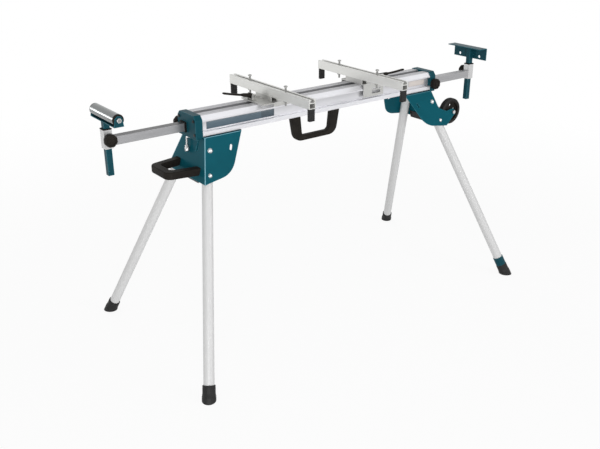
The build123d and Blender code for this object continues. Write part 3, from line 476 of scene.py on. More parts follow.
def turned(profile: Array, origin: tuple, axis: tuple, steps: int, cut: Array | None = None) -> Array:
    """Carries a profile round an axis.

    The point of row i at angle t is origin + axis * height_i + (radius_i - cut_it) * (side cos t + other sin t),
    where side and other are square to the axis.

    Args:
        profile: Rows of radius and height.
        origin: Where the axis starts.
        axis: The axis's direction.
        steps: Points round the axis.
        cut: What is taken off the radius, per row and step, or None.

    Returns:
        Points as an array of rows, steps and 3.
    """
    way = np.array(Vector(axis).normalized())
    helper = np.array((0.0, 0.0, 1.0)) if abs(way[2]) < 0.9 else np.array((1.0, 0.0, 0.0))
    side = np.cross(way, helper)
    side /= np.linalg.norm(side)
    other = np.cross(way, side)
    angle = np.arange(steps) * 2 * np.pi / steps
    round_it = np.cos(angle)[:, None] * side + np.sin(angle)[:, None] * other
    radius = np.repeat(profile[:, :1], steps, axis=1)
    if cut is not None:
        radius = radius - cut
    return np.array(origin) + profile[:, 1, None, None] * way + radius[:, :, None] * round_it


def hexagonal(apothem: float, steps: int, rows: int) -> Array:
    """How much a circle round a hexagon's corners loses at each angle, which turns a ring into a nut.

    The hexagon's radius at angle t is its apothem / cos(t mod 60 degrees - 30 degrees). The rows all lose the same.
    """
    angle = np.arange(steps) * 2 * np.pi / steps
    radius = apothem / np.cos(np.mod(angle, np.pi / 3) - np.pi / 6)
    return np.repeat((apothem / math.cos(math.pi / 6) - radius)[None, :], rows, axis=0)


def scalloped(rows: Array, lobes: int, depth: float, steps: int, sharpness: float = 3.0) -> Array:
    """What finger scallops take off each row: depth * row's share * ((1 + cos(lobes t)) / 2) ** sharpness."""
    angle = np.arange(steps) * 2 * np.pi / steps
    return depth * rows[:, None] * ((1 + np.cos(lobes * angle)) / 2) ** sharpness


def carried(path: Array, half_width: Array, half_height: Array, up: tuple, steps: int, power: float = 1.0) -> Array:
    """Carries an oval along a path.

    The point of row i at angle t is path_i + side * width_i * |cos t| ** power + above * height_i * |sin t| ** power,
    each with its cosine's or sine's sign. Side is square to the path and to up.

    Args:
        path: Points of the middle line.
        half_width: Half the width at each point.
        half_height: Half the height at each point.
        up: Roughly the direction of the height.
        steps: Points round the oval.
        power: 1 for an ellipse, less for a squarer section.

    Returns:
        Points as an array of rows, steps and 3.
    """
    way = np.gradient(path, axis=0)
    way /= np.linalg.norm(way, axis=1)[:, None]
    side = np.cross(way, np.array(up))
    side /= np.linalg.norm(side, axis=1)[:, None]
    above = np.cross(side, way)
    angle = np.arange(steps) * 2 * np.pi / steps
    across = np.sign(np.cos(angle)) * np.abs(np.cos(angle)) ** power
    along = np.sign(np.sin(angle)) * np.abs(np.sin(angle)) ** power
    wide = half_width[:, None, None] * across[None, :, None] * side[:, None, :]
    high = half_height[:, None, None] * along[None, :, None] * above[:, None, :]
    return path[:, None, :] + wide + high


def bent(corners: list[tuple], radius: float, steps: int = 8, spacing: float = 1.5) -> Array:
    """A line through corners, rounded at each by a curve b(t) = (1-t)^2 a + 2t(1-t) corner + t^2 c.

    Args:
        corners: The line's points.
        radius: How far from a corner its curve starts.
        steps: Points in each curve.
        spacing: Length of each step along the straight runs.

    Returns:
        Points along the line.
    """
    spots = [np.array(corner, float) for corner in corners]
    t = np.linspace(0, 1, steps)[:, None]
    runs, start = [], spots[0]
    for before, corner, after in zip(spots, spots[1:], spots[2:]):
        a = corner + (before - corner) / np.linalg.norm(before - corner) * radius
        c = corner + (after - corner) / np.linalg.norm(after - corner) * radius
        count = max(2, int(np.linalg.norm(a - start) / spacing))
        runs += [start + (a - start) * np.linspace(0, 1, count)[:-1, None]]
        runs += [(1 - t) ** 2 * a + 2 * t * (1 - t) * corner + t ** 2 * c]
        start = c
    count = max(2, int(np.linalg.norm(spots[-1] - start) / spacing))
    return np.concatenate(runs + [start + (spots[-1] - start) * np.linspace(0, 1, count)[1:, None]])


def rounded_rows(half_a: Array, half_b: Array, corner: Array, steps: int) -> tuple[Array, Array]:
    """Rectangles with round corners, one per row.

    In each quadrant the point at angle t is (sign_a * (half_a - corner) + corner cos t, and the same with b and sin t).

    Args:
        half_a: Half the length of each row.
        half_b: Half the width of each row.
        corner: The corner radius of each row.
        steps: Points in each corner.

    Returns:
        The two coordinates, as arrays of rows and points.
    """
    quarter = np.linspace(0, np.pi / 2, steps)
    angle = np.concatenate([quarter + turn * np.pi / 2 for turn in range(4)])
    sign_a = np.repeat([1, -1, -1, 1], steps)
    sign_b = np.repeat([1, 1, -1, -1], steps)
    a = sign_a * (half_a - corner)[:, None] + corner[:, None] * np.cos(angle)
    b = sign_b * (half_b - corner)[:, None] + corner[:, None] * np.sin(angle)
    return a, b


def at_heights(x: Array, y: Array, z: Array) -> Array:
    """Points from rows of X and Y, each row at its own height."""
    return np.stack([x, y, np.repeat(z[:, None], x.shape[1], axis=1)], axis=-1)


def placed(name: str, data: bpy.types.ID) -> bpy.types.Object:
    """A new object in the scene."""
    thing = bpy.data.objects.new(name, data)
    bpy.context.scene.collection.objects.link(thing)
    return thing


def leg_way(side: int, row: int) -> Array:
    """The unit vector down a leg."""
    return np.array(Vector((side * LEG_WAY[0], row * LEG_WAY[1], LEG_WAY[2])).normalized())


@dataclass
class Shape:
    """The surfaces of one piece, in millimetres from the floor under the beam's middle."""

    points: list[Array] = field(default_factory=list)
    faces: list[Array] = field(default_factory=list)
    count: int = 0

    def add(self, grid: Array, ring: bool = False) -> "Shape":
        """Adds rows of points that each close on themselves. In a ring the last row also joins the first."""
        rows, columns = grid.shape[:2]
        row = np.arange(rows if ring else rows - 1)[:, None]
        column = np.arange(columns)[None, :]
        below, beside = (row + 1) % rows, (column + 1) % columns
        corners = [row * columns + column, row * columns + beside, below * columns + beside, below * columns + column]
        self.points.append(grid.reshape(-1, 3))
        self.faces.append(np.stack(corners, axis=-1).reshape(-1, 4) + self.count)
        self.count += rows * columns
        return self

    def build(self, name: str, body: str, material: Material, replaces: tuple[str, ...] = ()) -> None:
        """Makes the piece, in place of the CAD nodes that it replaces, and sets it on its CAD body."""
        points = (np.concatenate(self.points) + (CENTRING, 0.0, 0.0)) * MM
        mesh = bpy.data.meshes.new(name)
        mesh.from_pydata(points, [], np.concatenate(self.faces))
        work = bmesh.new()
        work.from_mesh(mesh)
        bmesh.ops.remove_doubles(work, verts=work.verts, dist=MERGE)
        bmesh.ops.recalc_face_normals(work, faces=work.faces)
        work.to_mesh(mesh)
        work.free()
        mesh.shade_smooth()
        mesh.set_sharp_from_angle(angle=SHARP)
        piece = placed(name, mesh)
        mesh.materials.append(material)
        if replaces:
            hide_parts(*replaces)
        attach(piece, body)
        LOG.info("made %s with %d faces", name, len(mesh.polygons))


class Finishes:
    """Every material of the stand, and which CAD nodes wear it."""

    teal = BracketPaint("teal_paint", (0.005, 0.082, 0.110), (0.06, 0.26, 0.32), shine=0.02)
    deep_teal = Painted("deep_teal_paint", (0.006, 0.052, 0.070), (0.04, 0.22, 0.27), shine=0.1)
    cast_teal = CastPaint("cast_teal_paint", (0.002, 0.056, 0.076), (0.03, 0.18, 0.23), 0.00006, 0.42, 300.0, shine=0.1)
    silver = Painted("silver_paint", (0.60, 0.60, 0.60), (0.7, 0.7, 0.7), 0.000006, 0.38, 700.0, 0.012, 0.35)
    black_coat = Painted("black_coat", (0.007, 0.007, 0.008), (0.05, 0.05, 0.055))
    beam = BeamMetal("beam_anodised", (0.66, 0.66, 0.685), Grain.ALONG_X, 0.38, 0.035, metallic=0.7)
    arm = Metal("arm_brushed", (0.36, 0.36, 0.37), Grain.ALONG_X, 0.34, 0.12, metallic=0.85)
    # the left arm's copy of the arm metal, with painted shade on its top
    arm_painted_shade_top = ArmMetal("arm_brushed_dark_top", (0.36, 0.36, 0.37), Grain.ALONG_X, 0.34, 0.12, metallic=0.85)
    collar = Metal("collar_metal", (0.55, 0.55, 0.55), Grain.ALONG_Z, 0.36, 0.05, metallic=0.7)
    bar = Metal("bar_anodised", (0.62, 0.62, 0.60), Grain.ALONG_Y, 0.38, 0.04, metallic=0.7)
    plate = Metal("bracket_plated", (0.46, 0.46, 0.445), Grain.NONE, 0.4, 0.06, metallic=0.75)
    zinc = Metal("zinc_plated", (0.62, 0.62, 0.62), Grain.NONE, 0.26, 0.06, metallic=0.9)
    dull_zinc = Metal("dull_zinc", (0.30, 0.30, 0.29), Grain.NONE, 0.34, 0.08, metallic=0.85)
    roller = Metal("roller_plated", (0.20, 0.21, 0.21), Grain.ALONG_Y, 0.2, 0.05, metallic=1.0)
    plastic = Moulded("black_plastic", (0.0165, 0.0145, 0.0125), 0.5, shine=0.05)
    rubber = Moulded("black_rubber", (0.008, 0.008, 0.008), 0.6, 0.00008, 900.0)
    tyre = Moulded("tyre_rubber", (0.008, 0.0075, 0.007), 0.66, 0.0001, 700.0)

    @staticmethod
    def ends(*stems: str) -> tuple[str, ...]:
        """Each stem's left and right node."""
        return tuple(f"{stem}_{end}" for stem in stems for end in SIDES)

    @staticmethod
    def legs(stem: str) -> tuple[str, ...]:
        """A stem's node at each of the four legs."""
        return tuple(f"{stem}_{row}_{end}" for row in ROWS for end in SIDES)

    def wear(self) -> dict[str, tuple[str, ...]]:
        """Which finish each CAD node wears."""
        ends, legs = self.ends, self.legs
        return {
            "teal": ends("leg_bracket"),
            "deep_teal": ("roller_post", "stop_post", "roller_cradle", "stop_angle", "foot_sleeve"),
            "cast_teal": ends("beam_cap"),
            "silver": legs("leg"),
            "black_coat": ("cross_plates", "cap_screws"),
            "beam": ("main_beam",),
            "arm": ("arm_tube_right",),
            "arm_painted_shade_top": ("arm_tube_left",),
            "collar": ends("post_collar"),
            "bar": ends("saw_bar"),
            "plate": ends("mount_bracket", "clamp_shoe"),
            "zinc": ("frame_screws", "leg_pivot_bolts", "leg_stop_bolts", "pull_pin", "wheel_axle", "roller_nuts"),
            "dull_zinc": ("roller_axle", *ends("saw_bolts", "lever_pin")),
            "roller": ("roller_tube",),
            "plastic": ("carry_handle", "loop_handle", "roller_end_plugs", "wheel_hub_front", "wheel_hub_back",
                        *ends("arm_glide", "arm_lock_knob", "post_lock_knob", "clamp_lever")),
            "rubber": (*ends("bar_feet"), *legs("boot")),
            "tyre": ("wheel_tyre_front", "wheel_tyre_back"),
        }

    def dress(self) -> dict[str, Material]:
        """Gives every CAD node its material, and returns the materials by their names here."""
        made = {}
        for word, nodes in self.wear().items():
            made[word] = getattr(self, word).material()
            for name in nodes:
                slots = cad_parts[name].data.materials
                slots.clear()
                slots.append(made[word])
            LOG.info("dressed %d nodes in %s", len(nodes), word)
        return made


@dataclass
class Knobs:
    """The four lobed hand knobs, each with a recessed face. Sizes are in millimetres."""

    radius: float = 20.0
    neck_radius: float = 9.0
    neck: float = 4.3
    length: float = 18.0
    stud_radius: float = 4.0
    lobes: int = 8
    scallop: float = 1.2
    steps: int = 96

    def surface(self, seat: tuple, facing: int, stud: float) -> Array:
        """One knob: a profile carried round Y, with scallops on the rows of its grip."""
        r, n, end = self.radius, self.neck, self.neck + self.length
        rows = [  # radius, height and the row's share of the scallops
            (0, -stud, 0), (self.stud_radius, -stud, 0), (self.stud_radius, 0.3, 0), (self.neck_radius, 0.3, 0),
            (self.neck_radius, n, 0), (r - 4.2, n, 0), (r - 2.8, n + 0.3, 0.5), (r - 1.2, n + 1.4, 0.9),
            (r - 0.5, n + 3, 1), (r, n + 6, 1), (r, end - 4, 1), (r - 0.3, end - 2.2, 1), (r - 1.1, end - 0.9, 0.9),
            (r - 2.4, end - 0.2, 0.6), (r - 3.8, end, 0.2), (r - 5.6, end, 0), (r - 6.3, end - 0.5, 0),
            (r - 6.8, end - 3.2, 0), (r - 7.6, end - 3.8, 0), (7.0, end - 4, 0), (6.2, end - 3.8, 0),
            (5.9, end - 2.6, 0), (5.2, end - 2.2, 0), (0, end - 2.0, 0),
        ]
        table = np.array(rows, float)
        cut = scalloped(table[:, 2], self.lobes, self.scallop, self.steps)
        return turned(table[:, :2], seat, (0, facing, 0), self.steps, cut)

    def build(self, material: Material) -> None:
        """Builds all four knobs."""
        left, right = POST_X
        spots = {
            "arm_lock_knob_left": ((-512.5, 55, 748), 1, 26, "left_arm_knob"),
            "arm_lock_knob_right": ((512.5, -55, 748), -1, 26, "right_arm_knob"),
            "post_lock_knob_left": ((left, 2, 755.75), -1, 3.7, "left_post_knob"),
            "post_lock_knob_right": ((right, -2, 755.75), 1, 3.7, "right_post_knob"),
        }
        for node, (seat, facing, stud, body) in spots.items():
            Shape().add(self.surface(seat, facing, stud)).build(node + "_grip", body, material, (node,))


@dataclass
class Levers:
    """The two cam levers: a round cam between the ears and a thin flattened handle."""

    pivot: tuple = (268.0, -18.0, 806.0)
    cam_radius: float = 8.0
    cam_half: float = 12.2
    cam_drop: float = 1.5
    length: float = 100.0
    skew: float = 18.0
    tilt: float = 8.5
    dip: float = 1.4
    closing: float = 0.92
    widths: tuple = ((0, 0.12, 0.35, 0.7, 0.92, 1), (7.2, 7.6, 5.6, 6.2, 7.4, 7.4))
    heights: tuple = ((0, 0.28, 0.38, 1), (6.4, 6.0, 3.4, 3.1))
    steps: int = 28

    def handle(self, side: int) -> Array:
        """The handle: an oval carried along a line that dips by sin(pi s) and closes at the tip by sqrt(1 - u^2)."""
        skew, tilt, tip = math.radians(self.skew), math.radians(self.tilt), 1 - self.closing
        way = np.array((math.cos(skew) * math.cos(tilt), -math.sin(skew) * math.cos(tilt), math.sin(tilt)))
        near_tip = 1 - tip * np.cos(np.linspace(0, np.pi / 2, 9))
        s = np.concatenate([np.linspace(0, self.closing, 30), near_tip[1:]])
        path = np.array(self.pivot) + s[:, None] * self.length * way
        path[:, 2] -= self.dip * np.sin(np.pi * s)
        close = np.sqrt(np.clip(1 - (np.clip(s - self.closing, 0, 1) / tip) ** 2, 0, 1))
        width, height = np.interp(s, *self.widths) * close, np.interp(s, *self.heights) * close
        grid = carried(path, width, height, (0, 0, 1), self.steps, 0.75)
        grid = np.concatenate([np.repeat(path[:1, None, :], self.steps, axis=1), grid])
        return grid if side > 0 else grid * (-1, -1, 1)

    def build(self, material: Material) -> None:
        """Builds both levers."""
        r, h = self.cam_radius, self.cam_half
        profile = np.array([(0, -h), (r - 1, -h), (r, 1 - h), (r, h - 1), (r - 1, h), (0, h)])
        for end, side in SIDES.items():
            x, y, z = side * self.pivot[0], side * self.pivot[1], self.pivot[2] - self.cam_drop
            cam = turned(profile, (x, y, z), (0, 1, 0), 40)
            shape = Shape().add(cam).add(self.handle(side))
            shape.build(f"cam_lever_{end}", f"{end}_lever", material, (f"clamp_lever_{end}",))


@dataclass
class Tyres:
    """The two solid tyres, with a ridged sidewall and two tread grooves."""

    centre: tuple = (589.0, 80.61, 634.0)
    radius: float = 50.0
    half: float = 11.0
    bore: float = 39.05

    def build(self, material: Material) -> None:
        """Builds both tyres: a closed section carried round the axle."""
        r, h = self.radius, self.half
        side = [
            (self.bore, h - 0.6), (self.bore + 0.8, h), (41.5, h), (42, h - 0.8), (43, h - 0.8), (43.5, h), (46, h),
            (47.6, h - 0.5), (49, h - 1.7), (r - 0.3, h - 3), (r, h - 4.4), (r, 3.2), (r - 1.2, 2.9), (r - 1.2, 1.9),
            (r, 1.6),
        ]
        section = np.array(side + [(a, -b) for a, b in reversed(side)])
        for row, facing in ROWS.items():
            x, y, z = self.centre
            grid = turned(section, (x, facing * y, z), (0, 1, 0), 96)
            Shape().add(grid, ring=True).build(f"tread_{row}", f"{row}_wheel", material, (f"wheel_tyre_{row}",))


@dataclass
class Boots:
    """The four rubber feet, ribbed and beaded near the top and cut off along the leg where they meet the floor."""

    sole: tuple = (697.247, 349.532, 0.0)
    top_radius: float = 20.4
    sole_radius: float = 22.2
    bore: float = 17.05
    lengths: tuple = (46.0, 44.0)
    ribs: int = 16
    rib_depth: float = 0.7
    steps: int = 96

    def surface(self, side: int, row: int, length: float) -> Array:
        """One foot: its profile carried round the leg's line, with what is below the floor slid back up that line."""
        way = leg_way(side, row)
        t, s = self.top_radius, self.sole_radius
        rows = [  # radius, height and the row's share of the ribs
            (0, -24, 0), (s, -24, 0), (s, 9, 0), (s - 0.7, 9.8, 0), (s - 0.7, 11.2, 0), (s, 12, 0), (s, 13.4, 0),
            (s - 1.2, 15.2, 0), (t + 0.8, 18.2, 0), (t, 20, 0), (t, 22, 0), (t, 24, 1), (t, length - 10, 1),
            (t, length - 8, 0), (t, length - 6.5, 0), (t - 0.5, length - 6, 0), (t - 0.5, length - 5, 0),
            (t, length - 4.5, 0), (t, length - 1.5, 0), (t - 0.5, length - 0.4, 0), (t - 1.3, length, 0),
            (self.bore, length, 0), (self.bore, 21, 0), (0, 21, 0),
        ]
        table = np.array(rows, float)
        cut = scalloped(table[:, 2], self.ribs, self.rib_depth, self.steps, 6.0)
        place = (side * self.sole[0], row * self.sole[1], self.sole[2])
        grid = turned(table[:, :2], place, -way, self.steps, cut)
        below = np.clip(grid[..., 2], None, 0.0)
        return grid - below[..., None] / way[2] * way

    def build(self, material: Material) -> None:
        """Builds all four feet, the shorter one under the foot that slides."""
        for row, r in ROWS.items():
            for end, side in SIDES.items():
                short = (row, end) == ("front", "right")
                body = "front_right_foot" if short else f"{row}_{end}_leg"
                grid = self.surface(side, r, self.lengths[short])
                Shape().add(grid).build(f"foot_{row}_{end}", body, material, (f"boot_{row}_{end}",))


@dataclass
class BarFeet:
    """The rubber blocks under the saw bars' ends, with pressed ribs."""

    ends: tuple = (-239.6, 197.0)
    half_x: float = 11.0
    half_y: float = 6.0
    low: float = 768.0
    high: float = 807.45
    grooves: int = 5
    spacing: float = 6.5
    shut: float = 9.0

    def block(self, x: float, y: float) -> Array:
        """One block: round-cornered rectangles stacked up Z, drawn in where a rib's groove runs."""
        z = [self.low, self.low, self.low + 0.4, self.low + 1.2]
        inset = [self.shut, 1.2, 0.4, 0.0]
        for groove in range(self.grooves):
            base = self.low + 4 + groove * self.spacing
            z += [base, base + 0.5, base + 1.5, base + 2.0]
            inset += [0.0, 0.6, 0.6, 0.0]
        z += [self.high - 1.0, self.high - 0.4, self.high, self.high]
        inset = np.array(inset + [0.0, 0.4, 1.2, self.shut])
        half_y = np.maximum(self.half_y - inset, 0.0)
        half_x = np.where(inset < self.shut, self.half_x - inset, 0.0)
        a, b = rounded_rows(half_x, half_y, np.minimum(2.0, half_y), 5)
        return at_heights(x + a, y + b, np.array(z))

    def build(self, material: Material) -> None:
        """Builds the four blocks, two to a bar."""
        for end, x in zip(SIDES, BAR_X):
            shape = Shape()
            for y in self.ends:
                shape.add(self.block(x, y))
            shape.build(f"bar_blocks_{end}", f"{end}_carriage", material, (f"bar_feet_{end}",))


@dataclass
class Bolts:
    """Threaded bolts, domed heads and nuts."""

    pitch: float = 1.25
    thread: float = 0.35
    saw_y: tuple = (-108.0, 95.0)
    leg_pivot: tuple = (491.71, 59.584, 676.5)
    stop_distance: float = 78.0
    flange_out: float = 20.5
    stop_scale: tuple = (0.81, 0.9)
    axle_ends: tuple = (81.5, -87.5)

    def shank(self, start: float, end: float, radius: float) -> list[Pair]:
        """Rows of a threaded rod between two heights: the radius drops by the thread's depth every half pitch."""
        heights = np.arange(start, end, self.pitch / 2)
        radii = radius - self.thread * (np.arange(len(heights)) % 2)
        return list(zip(radii.tolist(), heights.tolist()))

    def nut(self, shape: Shape, flats: float, bore: float, start: tuple, axis: tuple, height: float) -> None:
        """Adds a chamfered six-sided nut: a ring whose outer rows lose what a hexagon takes."""
        corner, face = flats / 2 / math.cos(math.pi / 6), flats / 2 * 0.96
        profile = np.array([
            (bore, 0.4), (bore + 0.5, 0), (face, 0), (corner, 0.8), (corner, height - 0.8), (face, height),
            (bore + 0.5, height), (bore, height - 0.4),
        ])
        cut = hexagonal(flats / 2, 48, len(profile)) * np.isclose(profile[:, :1], corner)
        shape.add(turned(profile, start, axis, 48, cut), ring=True)

    def saw_bolts(self, material: Material) -> None:
        """The bolts through the saw bars: flat mushroom heads over thin shanks, with nuts below."""
        for end, x in zip(SIDES, BAR_X):
            shape = Shape()
            for y in self.saw_y:
                rows = [
                    (0, 789.5), (2.6, 789.5), *self.shank(790.2, 849.4, 3.5), (3.2, 849.6), (3.2, 850.0), (6.0, 850.5),
                    (6.5, 851.0), (6.5, 852.3), (5.9, 853.5), (4.6, 854.3), (2.6, 854.5), (2.5, 852.6), (0, 852.6),
                ]
                shape.add(turned(np.array(rows), (x, y, 0), (0, 0, 1), 32))
                self.nut(shape, NUT_FLATS, 3.55, (x, y, 802.0), (0, 0, 1), 5.4)
            shape.build(f"saw_bolt_set_{end}", f"{end}_carriage", material, (f"saw_bolts_{end}",))

    def leg_bolts(self, material: Material) -> None:
        """The leg brackets' bolts: flanged domes outside the flanges, and nuts behind the legs."""
        base, (narrower, lower) = self.flange_out, self.stop_scale
        head = [(8, base), (8, 21.4), (7, 21.8), (6.6, 23.2), (5.2, 24.9), (3.2, 25.7), (0, 26)]
        small = [(a * narrower, base + (b - base) * lower) for a, b in head]
        pivot_rows = np.array([(0, -25.3), (4.2, -25.3), (5, -24.5), (5, base), *head])
        stop_rows = np.array([(0, 17.4), (4, 17.4), (4, base), *small])
        pivot, way = np.array(self.leg_pivot), leg_way(1, 1)
        pivots, stops = Shape(), Shape()
        for side in SIDES.values():
            for row in ROWS.values():
                flip = np.array((side, row, 1))
                out = np.array((0, math.cos(SIDE_LEAN), math.sin(SIDE_LEAN))) * flip
                pivots.add(turned(pivot_rows, pivot * flip, out, 40))
                self.nut(pivots, 17.0, 5.05, tuple(pivot * flip - out * 23.3), out, 6.0)
                stops.add(turned(stop_rows, (pivot + way * self.stop_distance) * flip, out, 40))
        pivots.build("pivot_bolt_set", "frame", material, ("leg_pivot_bolts",))
        stops.build("stop_bolt_set", "frame", material, ("leg_stop_bolts",))

    def roller_ends(self, material: Material) -> None:
        """The nuts on the roller's axle."""
        shape = Shape()
        for start in self.axle_ends:
            self.nut(shape, NUT_FLATS, 4.05, (POST_X[0], start, ROLLER_Z), (0, 1, 0), 6.0)
        shape.build("axle_nut_pair", "left_post", material, ("roller_nuts",))

    def build(self, material: Material, dimmed: Material) -> None:
        """Builds every bolt set."""
        self.saw_bolts(dimmed)
        self.leg_bolts(material)
        self.roller_ends(material)


@dataclass
class SmallFittings:
    """The pull pin, the collars' bezels, the roller's end plugs and the blank strip and labels."""

    pin_corners: tuple = ((11, -18, -14), (11, -18, 8.5), (27, -18.5, 8.5), (14.7, -46.8, 8.5))
    pin_radius: float = 3.2
    pin_bend: float = 6.5
    grip_ends: tuple = ((7.5, -63.4, 8.5), (15.5, -45, 8.5))
    bezel_y: float = 15.0
    roller_half: float = 79.0
    beam_front: float = -41.0
    strip_low: tuple = (-478.7, 742.5)
    strip_high: tuple = (-220.0, 766.0)
    strip_end: float = 52.0
    labels: tuple = (
        ("blank_label_right", (397, 747), (479, 767), (0.58, 0.53, 0.50)),
        ("blank_label_middle", (212, 746), (256, 765.5), (0.36, 0.36, 0.37)),
    )

    def on_left_plate(self, point: tuple) -> Triple:
        """A point given in the left end plate's own plane: across it, up it and out of it."""
        across, up, out = point
        s, c = math.sin(END_LEAN), math.cos(END_LEAN)
        return (-(END_X - up * s + out * c), across, BEAM_Z + up * c + out * s)

    def pull_pin(self, material: Material) -> None:
        """The hooked pin: a round wire carried round its bend, and a knurled grip."""
        path = bent([self.on_left_plate(corner) for corner in self.pin_corners], self.pin_bend)
        size = np.full(len(path), self.pin_radius)
        grid = carried(path, size, size, (-0.42, 0.5, 0.76), 20)
        first, last = (np.repeat(path[i][None, None, :], 20, axis=1) for i in (0, -1))
        wire = Shape().add(np.concatenate([first, grid, last]))
        wire.build("pull_pin_wire", "pull_pin_body", material, ("pull_pin",))
        foot, top = (np.array(self.on_left_plate(end)) for end in self.grip_ends)
        rows = [
            (0, 0, 0), (5.2, 0, 0), (6.4, 0.5, 0), (7, 1.4, 0), (7, 3, 0), (6.2, 3.6, 0), (6.2, 4.2, 0), (6.9, 4.8, 1),
            (6.9, 15.2, 1), (6.2, 15.8, 0), (6.2, 16.4, 0), (7, 17, 0), (7, 18.6, 0), (6.2, 19.6, 0), (3.6, 20, 0),
            (0, 20, 0),
        ]
        table = np.array(rows, float)
        knurl = scalloped(table[:, 2], 20, 0.5, 80, 1.0)
        grip = turned(table[:, :2], tuple(foot), tuple(top - foot), 80, knurl)
        Shape().add(grip).build("pull_pin_grip", "pull_pin_body", material)

    def bezels(self, material: Material) -> None:
        """The square rings on the collars: a small section carried round a round-cornered square."""
        half = np.array([9.35, 9.35, 9.9, 13.2, 14.0, 14.0, 13.4])
        z = np.array([784.55, 787.2, 787.9, 787.9, 787.3, 785.0, 784.55])
        a, b = rounded_rows(half, half, np.array([0.6, 0.6, 0.8, 2.0, 2.4, 2.4, 2.2]), 5)
        for (end, side), x in zip(SIDES.items(), POST_X):
            grid = at_heights(x + a, b - side * self.bezel_y, z)
            Shape().add(grid, ring=True).build(f"collar_bezel_{end}", f"{end}_arm", material)

    def roller_plugs(self, material: Material) -> None:
        """The bearings in the roller's ends, each with a flange over the tube's end."""
        rows = np.array([
            (4.06, -8.9), (15.4, -8.9), (15.4, -2.97), (17.2, -2.97), (17.48, -2.7), (17.48, -0.6), (17.0, -0.05),
            (14.0, 0), (13.6, -0.6), (6.6, -0.6), (6.2, 0), (4.06, 0),
        ])
        shape = Shape()
        for facing in (-1, 1):
            place = (POST_X[0], facing * self.roller_half, ROLLER_Z)
            shape.add(turned(rows, place, (0, facing, 0), 64), ring=True)
        shape.build("roller_bearing_pair", "roller", material, ("roller_end_plugs",))

    def in_metres(self, spot: Pair) -> Pair:
        """A place on the beam's front in the scene's own metres."""
        return ((spot[0] + CENTRING) * MM, spot[1] * MM)

    def panel(self, name: str, low: tuple, high: tuple, material: Material, corner: float = 1.5) -> None:
        """A thin sticker on the beam's front: round-cornered rectangles stepped out from the face, with soft edges."""
        centre = ((low[0] + high[0]) / 2, (low[1] + high[1]) / 2)
        half_a, half_b = (high[0] - low[0]) / 2, (high[1] - low[1]) / 2
        inset = np.array([half_b, 0.0, 0.0, 0.15, half_b])
        depth = np.array([0.02, 0.02, 0.18, 0.25, 0.25])
        radius = np.minimum(np.full(len(inset), corner), half_b - inset)
        a, b = rounded_rows(half_a - inset, half_b - inset, radius, 6)
        y = np.repeat((self.beam_front - depth)[:, None], a.shape[1], axis=1)
        Shape().add(np.stack([centre[0] + a, y, centre[1] + b], axis=-1)).build(name, "frame", material)

    def build(self, made: dict[str, Material]) -> None:
        """Builds all the small fittings."""
        self.pull_pin(made["zinc"])
        self.bezels(made["plastic"])
        self.roller_plugs(made["plastic"])
        low, high = self.in_metres(self.strip_low), self.in_metres(self.strip_high)
        strip = Strip("name_strip", (0.062, 0.100, 0.130), high[0] - self.strip_end * MM, low, high)
        self.panel("name_strip", self.strip_low, self.strip_high, strip.material())
        for name, low, high, colour in self.labels:
            box = self.in_metres(low), self.in_metres(high)
            self.panel(name, low, high, Strip(name, colour, box[1][0] + 1.0, *box).material())


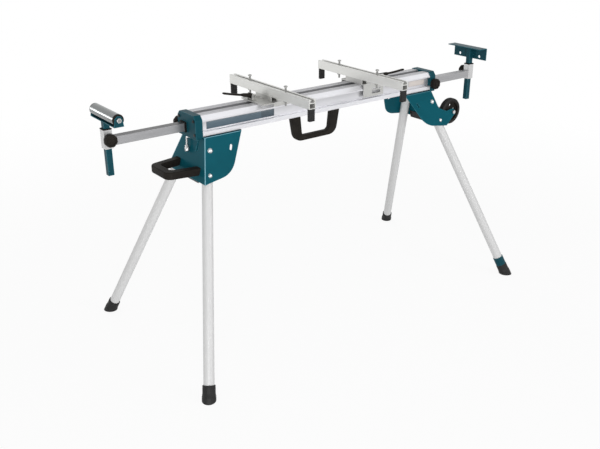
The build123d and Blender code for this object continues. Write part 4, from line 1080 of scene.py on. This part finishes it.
@dataclass
class Studio:
    """The floor, the lamps, the world and the camera."""

    place: tuple = (-1.6399, -2.0552, 1.4297)
    pitch: float = -23.6
    yaw: float = -37.4
    lens: float = 46.218
    ambient: float = 0.5
    floor_reach: float = 30.0
    floor_glow: float = 0.91
    floor_fade: tuple = (1.0, 3.2)
    aim: tuple = (0.0, 0.0, 0.5)
    lamps: tuple = (
        ("key", (-3.0, -4.0, 1.2), 1.8, 120.0, True),
        ("fill", (2.2, -4.4, 2.0), 2.2, 60.0, True),
        ("back", (1.0, 4.0, 3.0), 2.4, 30.0, False),
        ("rim", (-2.9, 4.2, 0.95), 1.1, 22.0, True),
    )

    def camera(self) -> None:
        """The camera at the photograph's angle."""
        data = bpy.data.cameras.new("camera")
        data.lens, data.sensor_width, data.sensor_fit = self.lens, 36.0, "HORIZONTAL"
        data.clip_start, data.clip_end = 0.05, 100.0
        camera = placed("camera", data)
        camera.location = self.place
        camera.rotation_euler = Euler((math.radians(90 + self.pitch), 0, math.radians(self.yaw)))
        bpy.context.scene.camera = camera

    def lamp(self, name: str, place: tuple, size: float, power: float, mirrored: bool) -> None:
        """A soft square lamp that faces the stand, seen in shiny surfaces or not."""
        data = bpy.data.lights.new(name, "AREA")
        data.shape, data.size, data.energy = "SQUARE", size, power
        lamp = placed(name, data)
        lamp.visible_glossy = mirrored
        lamp.location = place
        lamp.rotation_euler = (Vector(self.aim) - Vector(place)).to_track_quat("-Z", "Y").to_euler()

    def world(self) -> None:
        """A soft grey light that the camera and mirrors see as white."""
        g = Graph("studio", "World")
        camera, glossy, through = (g.ray(kind) for kind in ("Camera", "Glossy", "Transmission"))
        strength = g.node("MapRange", {}, {0: camera.most(glossy.most(through)), "To Min": self.ambient})
        light = g.node("Background", {}, {"Color": grey(1.0), "Strength": strength})
        bpy.context.scene.world = g.finish(light)

    def floor(self) -> None:
        """A wide pale floor that keeps soft shadows under the stand and fades to white."""
        reach = self.floor_reach
        mesh = bpy.data.meshes.new("floor")
        corners = [(-reach, -reach, 0), (reach, -reach, 0), (reach, reach, 0), (-reach, reach, 0)]
        mesh.from_pydata(corners, [], [(0, 1, 2, 3)])
        floor = placed("floor", mesh)
        g = Graph("floor_white")
        x, y, _ = g.axes()
        square = x * x + y * y
        far = g.ramp(square.math("SQRT", square), *self.floor_fade)
        seen = g.ray("Camera").most(g.ray("Glossy"))
        matt = g.node("BsdfDiffuse", {}, {"Color": grey(0.86)})
        glow = g.node("Emission", {}, {"Color": grey(1.0), "Strength": 1.0})
        factor = seen * (self.floor_glow + (1 - self.floor_glow) * far)
        mesh.materials.append(g.finish(g.node("MixShader", {}, {0: factor, 1: matt, 2: glow})))

    def build(self) -> None:
        """Sets up the whole studio."""
        bpy.context.scene.view_settings.view_transform = "Standard"
        self.camera()
        self.world()
        self.floor()
        for lamp in self.lamps:
            self.lamp(*lamp)


def main() -> None:
    """Builds the pieces in order."""
    logging.basicConfig(level=logging.INFO, format="%(name)s: %(message)s")
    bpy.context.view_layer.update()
    Studio().build()
    made = Finishes().dress()
    Knobs().build(made["plastic"])
    Levers().build(made["plastic"])
    Tyres().build(made["tyre"])
    Boots().build(made["rubber"])
    BarFeet().build(made["rubber"])
    Bolts().build(made["zinc"], made["dull_zinc"])
    SmallFittings().build(made)


if __name__ == "__main__":
    main()
